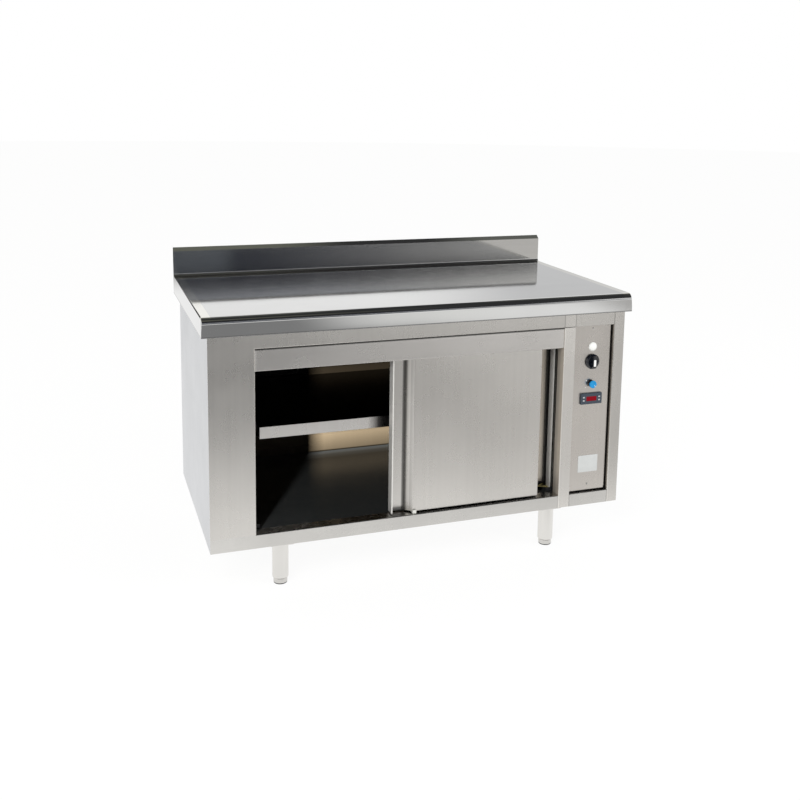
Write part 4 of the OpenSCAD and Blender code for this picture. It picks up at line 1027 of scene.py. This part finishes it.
FLOOR_RADIUS, FLOOR_SHARE, FLOOR_GLOW = 30, 0.86, 1.04
edit = bmesh.new()
bmesh.ops.create_circle(edit, cap_ends=True, radius=FLOOR_RADIUS, segments=96)
floor = object_from("studio_floor", edit)
made, tree, _ = new_material("pale_studio_floor")
mixed(tree, calculate(tree, "MULTIPLY", seen_directly(tree), FLOOR_SHARE),
      add(tree, "ShaderNodeBsdfDiffuse", {"Color": linear("#F2F2F0")}),
      add(tree, "ShaderNodeEmission", {"Color": (1, 1, 1, 1), "Strength": FLOOR_GLOW}))
made.cycles.emission_sampling = "NONE"
floor.data.materials.append(made)
world = bpy.data.worlds.new("studio")
scene.world = world
world.use_nodes = True
world.cycles.sampling_method = "NONE"
tree = world.node_tree
tree.nodes.clear()
sky = add(tree, "ShaderNodeBackground", {"Color": (1, 1, 1, 1)},
          {"Strength": ranged(tree, seen_directly(tree), 0.7, 1.0)})
add(tree, "ShaderNodeOutputWorld", links={"Surface": (sky, 0)})
print("floor and world ready")


# %% Lamps
def soft_lamp(name, place_at, target, size, watts):
    """A square area lamp aimed at a point, which metal doesn't mirror."""
    data = bpy.data.lights.new(name, "AREA")
    data.shape, data.size, data.energy = "SQUARE", size, watts
    lamp = bpy.data.objects.new(name, data)
    lamp.location = place_at
    lamp.rotation_euler = (Vector(target) - Vector(place_at)).to_track_quat("-Z", "Y").to_euler()
    lamp.visible_glossy = False
    scene.collection.objects.link(lamp)
    return lamp


soft_lamp("key", (-3.2, -3.6, 3.6), (0, 0, 0.5), 2.4, 105)
soft_lamp("fill", (3.4, -2.6, 2.4), (0, 0, 0.5), 2.4, 50)

# %% [markdown]
# ## The low light inside
# Low light from the front left reaches under the shelf to the back wall, and the left stile
# cuts it off along a slanting line. A small lamp that lights only the back and the floor of
# the lining (light linking) gives that patch without lighting the rest of the cabinet more. The
# back sheet's colour adds a painted lit patch with painted shade round it, and the floor's colour
# a painted reflection of it.

# %% Lamp for the lining
low_lamp = soft_lamp("low_light", (-2.13, -3.25, 1.44), (0, 0.29, 0.2), 0.25, 6000)
lit = bpy.data.collections.new("lit_lining")
for name in ("inner_back_sheet", "cabinet_floor_sheet"):
    lit.objects.link(bpy.data.objects[name])
low_lamp.light_linking.receiver_collection = lit


# %% Dark and pale cards that only polished metal sees
def card(name, centre, size, tilt, tone, cover, fade):
    """A card with soft edges. fade gives the width of each: left, right, low, high."""
    edit = bmesh.new()
    bmesh.ops.create_grid(edit, x_segments=1, y_segments=1, size=0.5)
    bmesh.ops.scale(edit, vec=(size[0], size[1], 1), verts=edit.verts)
    flag = object_from(name, edit)
    flag.location = centre
    flag.rotation_euler = tilt
    made, tree, spot = new_material(name + "_cloth")
    axes = add(tree, "ShaderNodeSeparateXYZ", links={"Vector": spot})
    share = cover
    for axis, sign, width in ((0, -1, fade[0]), (0, 1, fade[1]), (1, -1, fade[2]), (1, 1, fade[3])):
        edge = sign * size[axis] / 2
        ramp = ranged(tree, (axes, axis), 0.0, 1.0, edge, edge - sign * width,
                      interpolation_type="SMOOTHSTEP")
        share = calculate(tree, "MULTIPLY", ramp, share)
    mixed(tree, share, add(tree, "ShaderNodeBsdfTransparent"),
          add(tree, "ShaderNodeEmission", {"Color": linear(tone)}))
    made.cycles.emission_sampling = "NONE"
    flag.data.materials.append(made)
    flag.visible_camera = flag.visible_diffuse = flag.visible_transmission = False
    flag.visible_shadow = flag.visible_volume_scatter = False


FLAT, UPRIGHT = (0, 0, 0), (math.pi / 2, 0, 0)
for name, centre, size, tone, cover, fade in (
        ("overhead_card", (0.5, -1.6, 3.4), (11, 7.2), "#16171A", 0.97, (2, 2, 0.15, 0.7)),
        ("overhead_strip", (-0.6, -1.9, 3.38), (4.4, 0.9), "#77786A", 0.8, (0.5, 2.2, 0.2, 0.25)),
        ("upstand_strip_left", (-0.5, 0.5, 3.37), (2.4, 0.8), "#6F7169", 0.95, (0.3, 0.6, 0.15, 0.15)),
        ("upstand_strip_right", (2.2, 0.5, 3.37), (2.2, 0.8), "#6A6C68", 0.95, (0.5, 0.3, 0.15, 0.15)),
        ("floor_card", (-1.925, -4.0, 0.004), (7.75, 7.4), "#3A3B3E", 0.76, (1.5, 1.7, 0.2, 2.2)),
        ("floor_card_right", (3.15, -1.75, 0.005), (6.7, 2.9), "#B8B6B4", 0.44, (1.0, 1.0, 0.4, 0.7)),
        ("floor_card_light", (1.3, -4.6, 0.006), (1.9, 2.2), "#FFFFFD", 0.7, (0.6, 0.8, 0.3, 0.15)),
        ("floor_card_strip", (2.0, -3.25, 0.007), (2.8, 0.4), "#6E6C68", 0.3, (0.5, 0.5, 0.12, 0.05)),
        ("floor_card_side", (3.5, -2.75, 0.007), (2.6, 1.3), "#6E6C68", 0.2, (0.4, 0.5, 0.2, 0.3)),
        ("floor_card_far", (4.45, -5.35, 0.005), (4.1, 4.7), "#B8B6B4", 0.8, (0.5, 1.0, 0.2, 0.4))):
    card(name, centre, size, FLAT, tone, cover, fade)
for name, centre, size, tone, cover, fade in (
        ("front_card", (0.15, -5.2, 1.42), (12.7, 1.74), "#232936", 0.97, (0.6, 6.3, 0.9, 0.34)),
        ("front_card_left", (-1.55, -5.18, 1.45), (4.1, 0.8), "#63686F", 0.9, (0.6, 0.25, 0.3, 0.05)),
        ("front_card_tint", (-1.2, -5.17, 2.16), (9.0, 0.3), "#8496BC", 0.35, (0.5, 2.5, 0.12, 0.1)),
        ("front_card_band", (2.0, -5.19, 1.89), (8.0, 0.26), "#15181E", 0.85, (0.5, 1.5, 0.08, 0.16)),
        ("front_card_high", (-1.0, -5.2, 2.95), (10.4, 1.2), "#1C2130", 0.95, (0.6, 1.5, 0.1, 0.1)),
        ("nosing_card", (0.8, -2.2, 1.06), (7.0, 0.18), "#171A22", 0.95, (0.5, 0.5, 0.08, 0.05)),
        ("back_card", (4.2, 4.2, 1.6), (5.8, 3.2), "#6E7076", 0.4, (1.4, 0.5, 0.2, 0.6)),
        ("back_card_left", (-2.2, 4.2, 1.5), (3.4, 3.0), "#16171A", 0.95, (0.5, 0.2, 0.3, 0.3))):
    card(name, centre, size, UPRIGHT, tone, cover, fade)

# %% [markdown]
# ## Finish


print("pieces:", len(made_pieces))
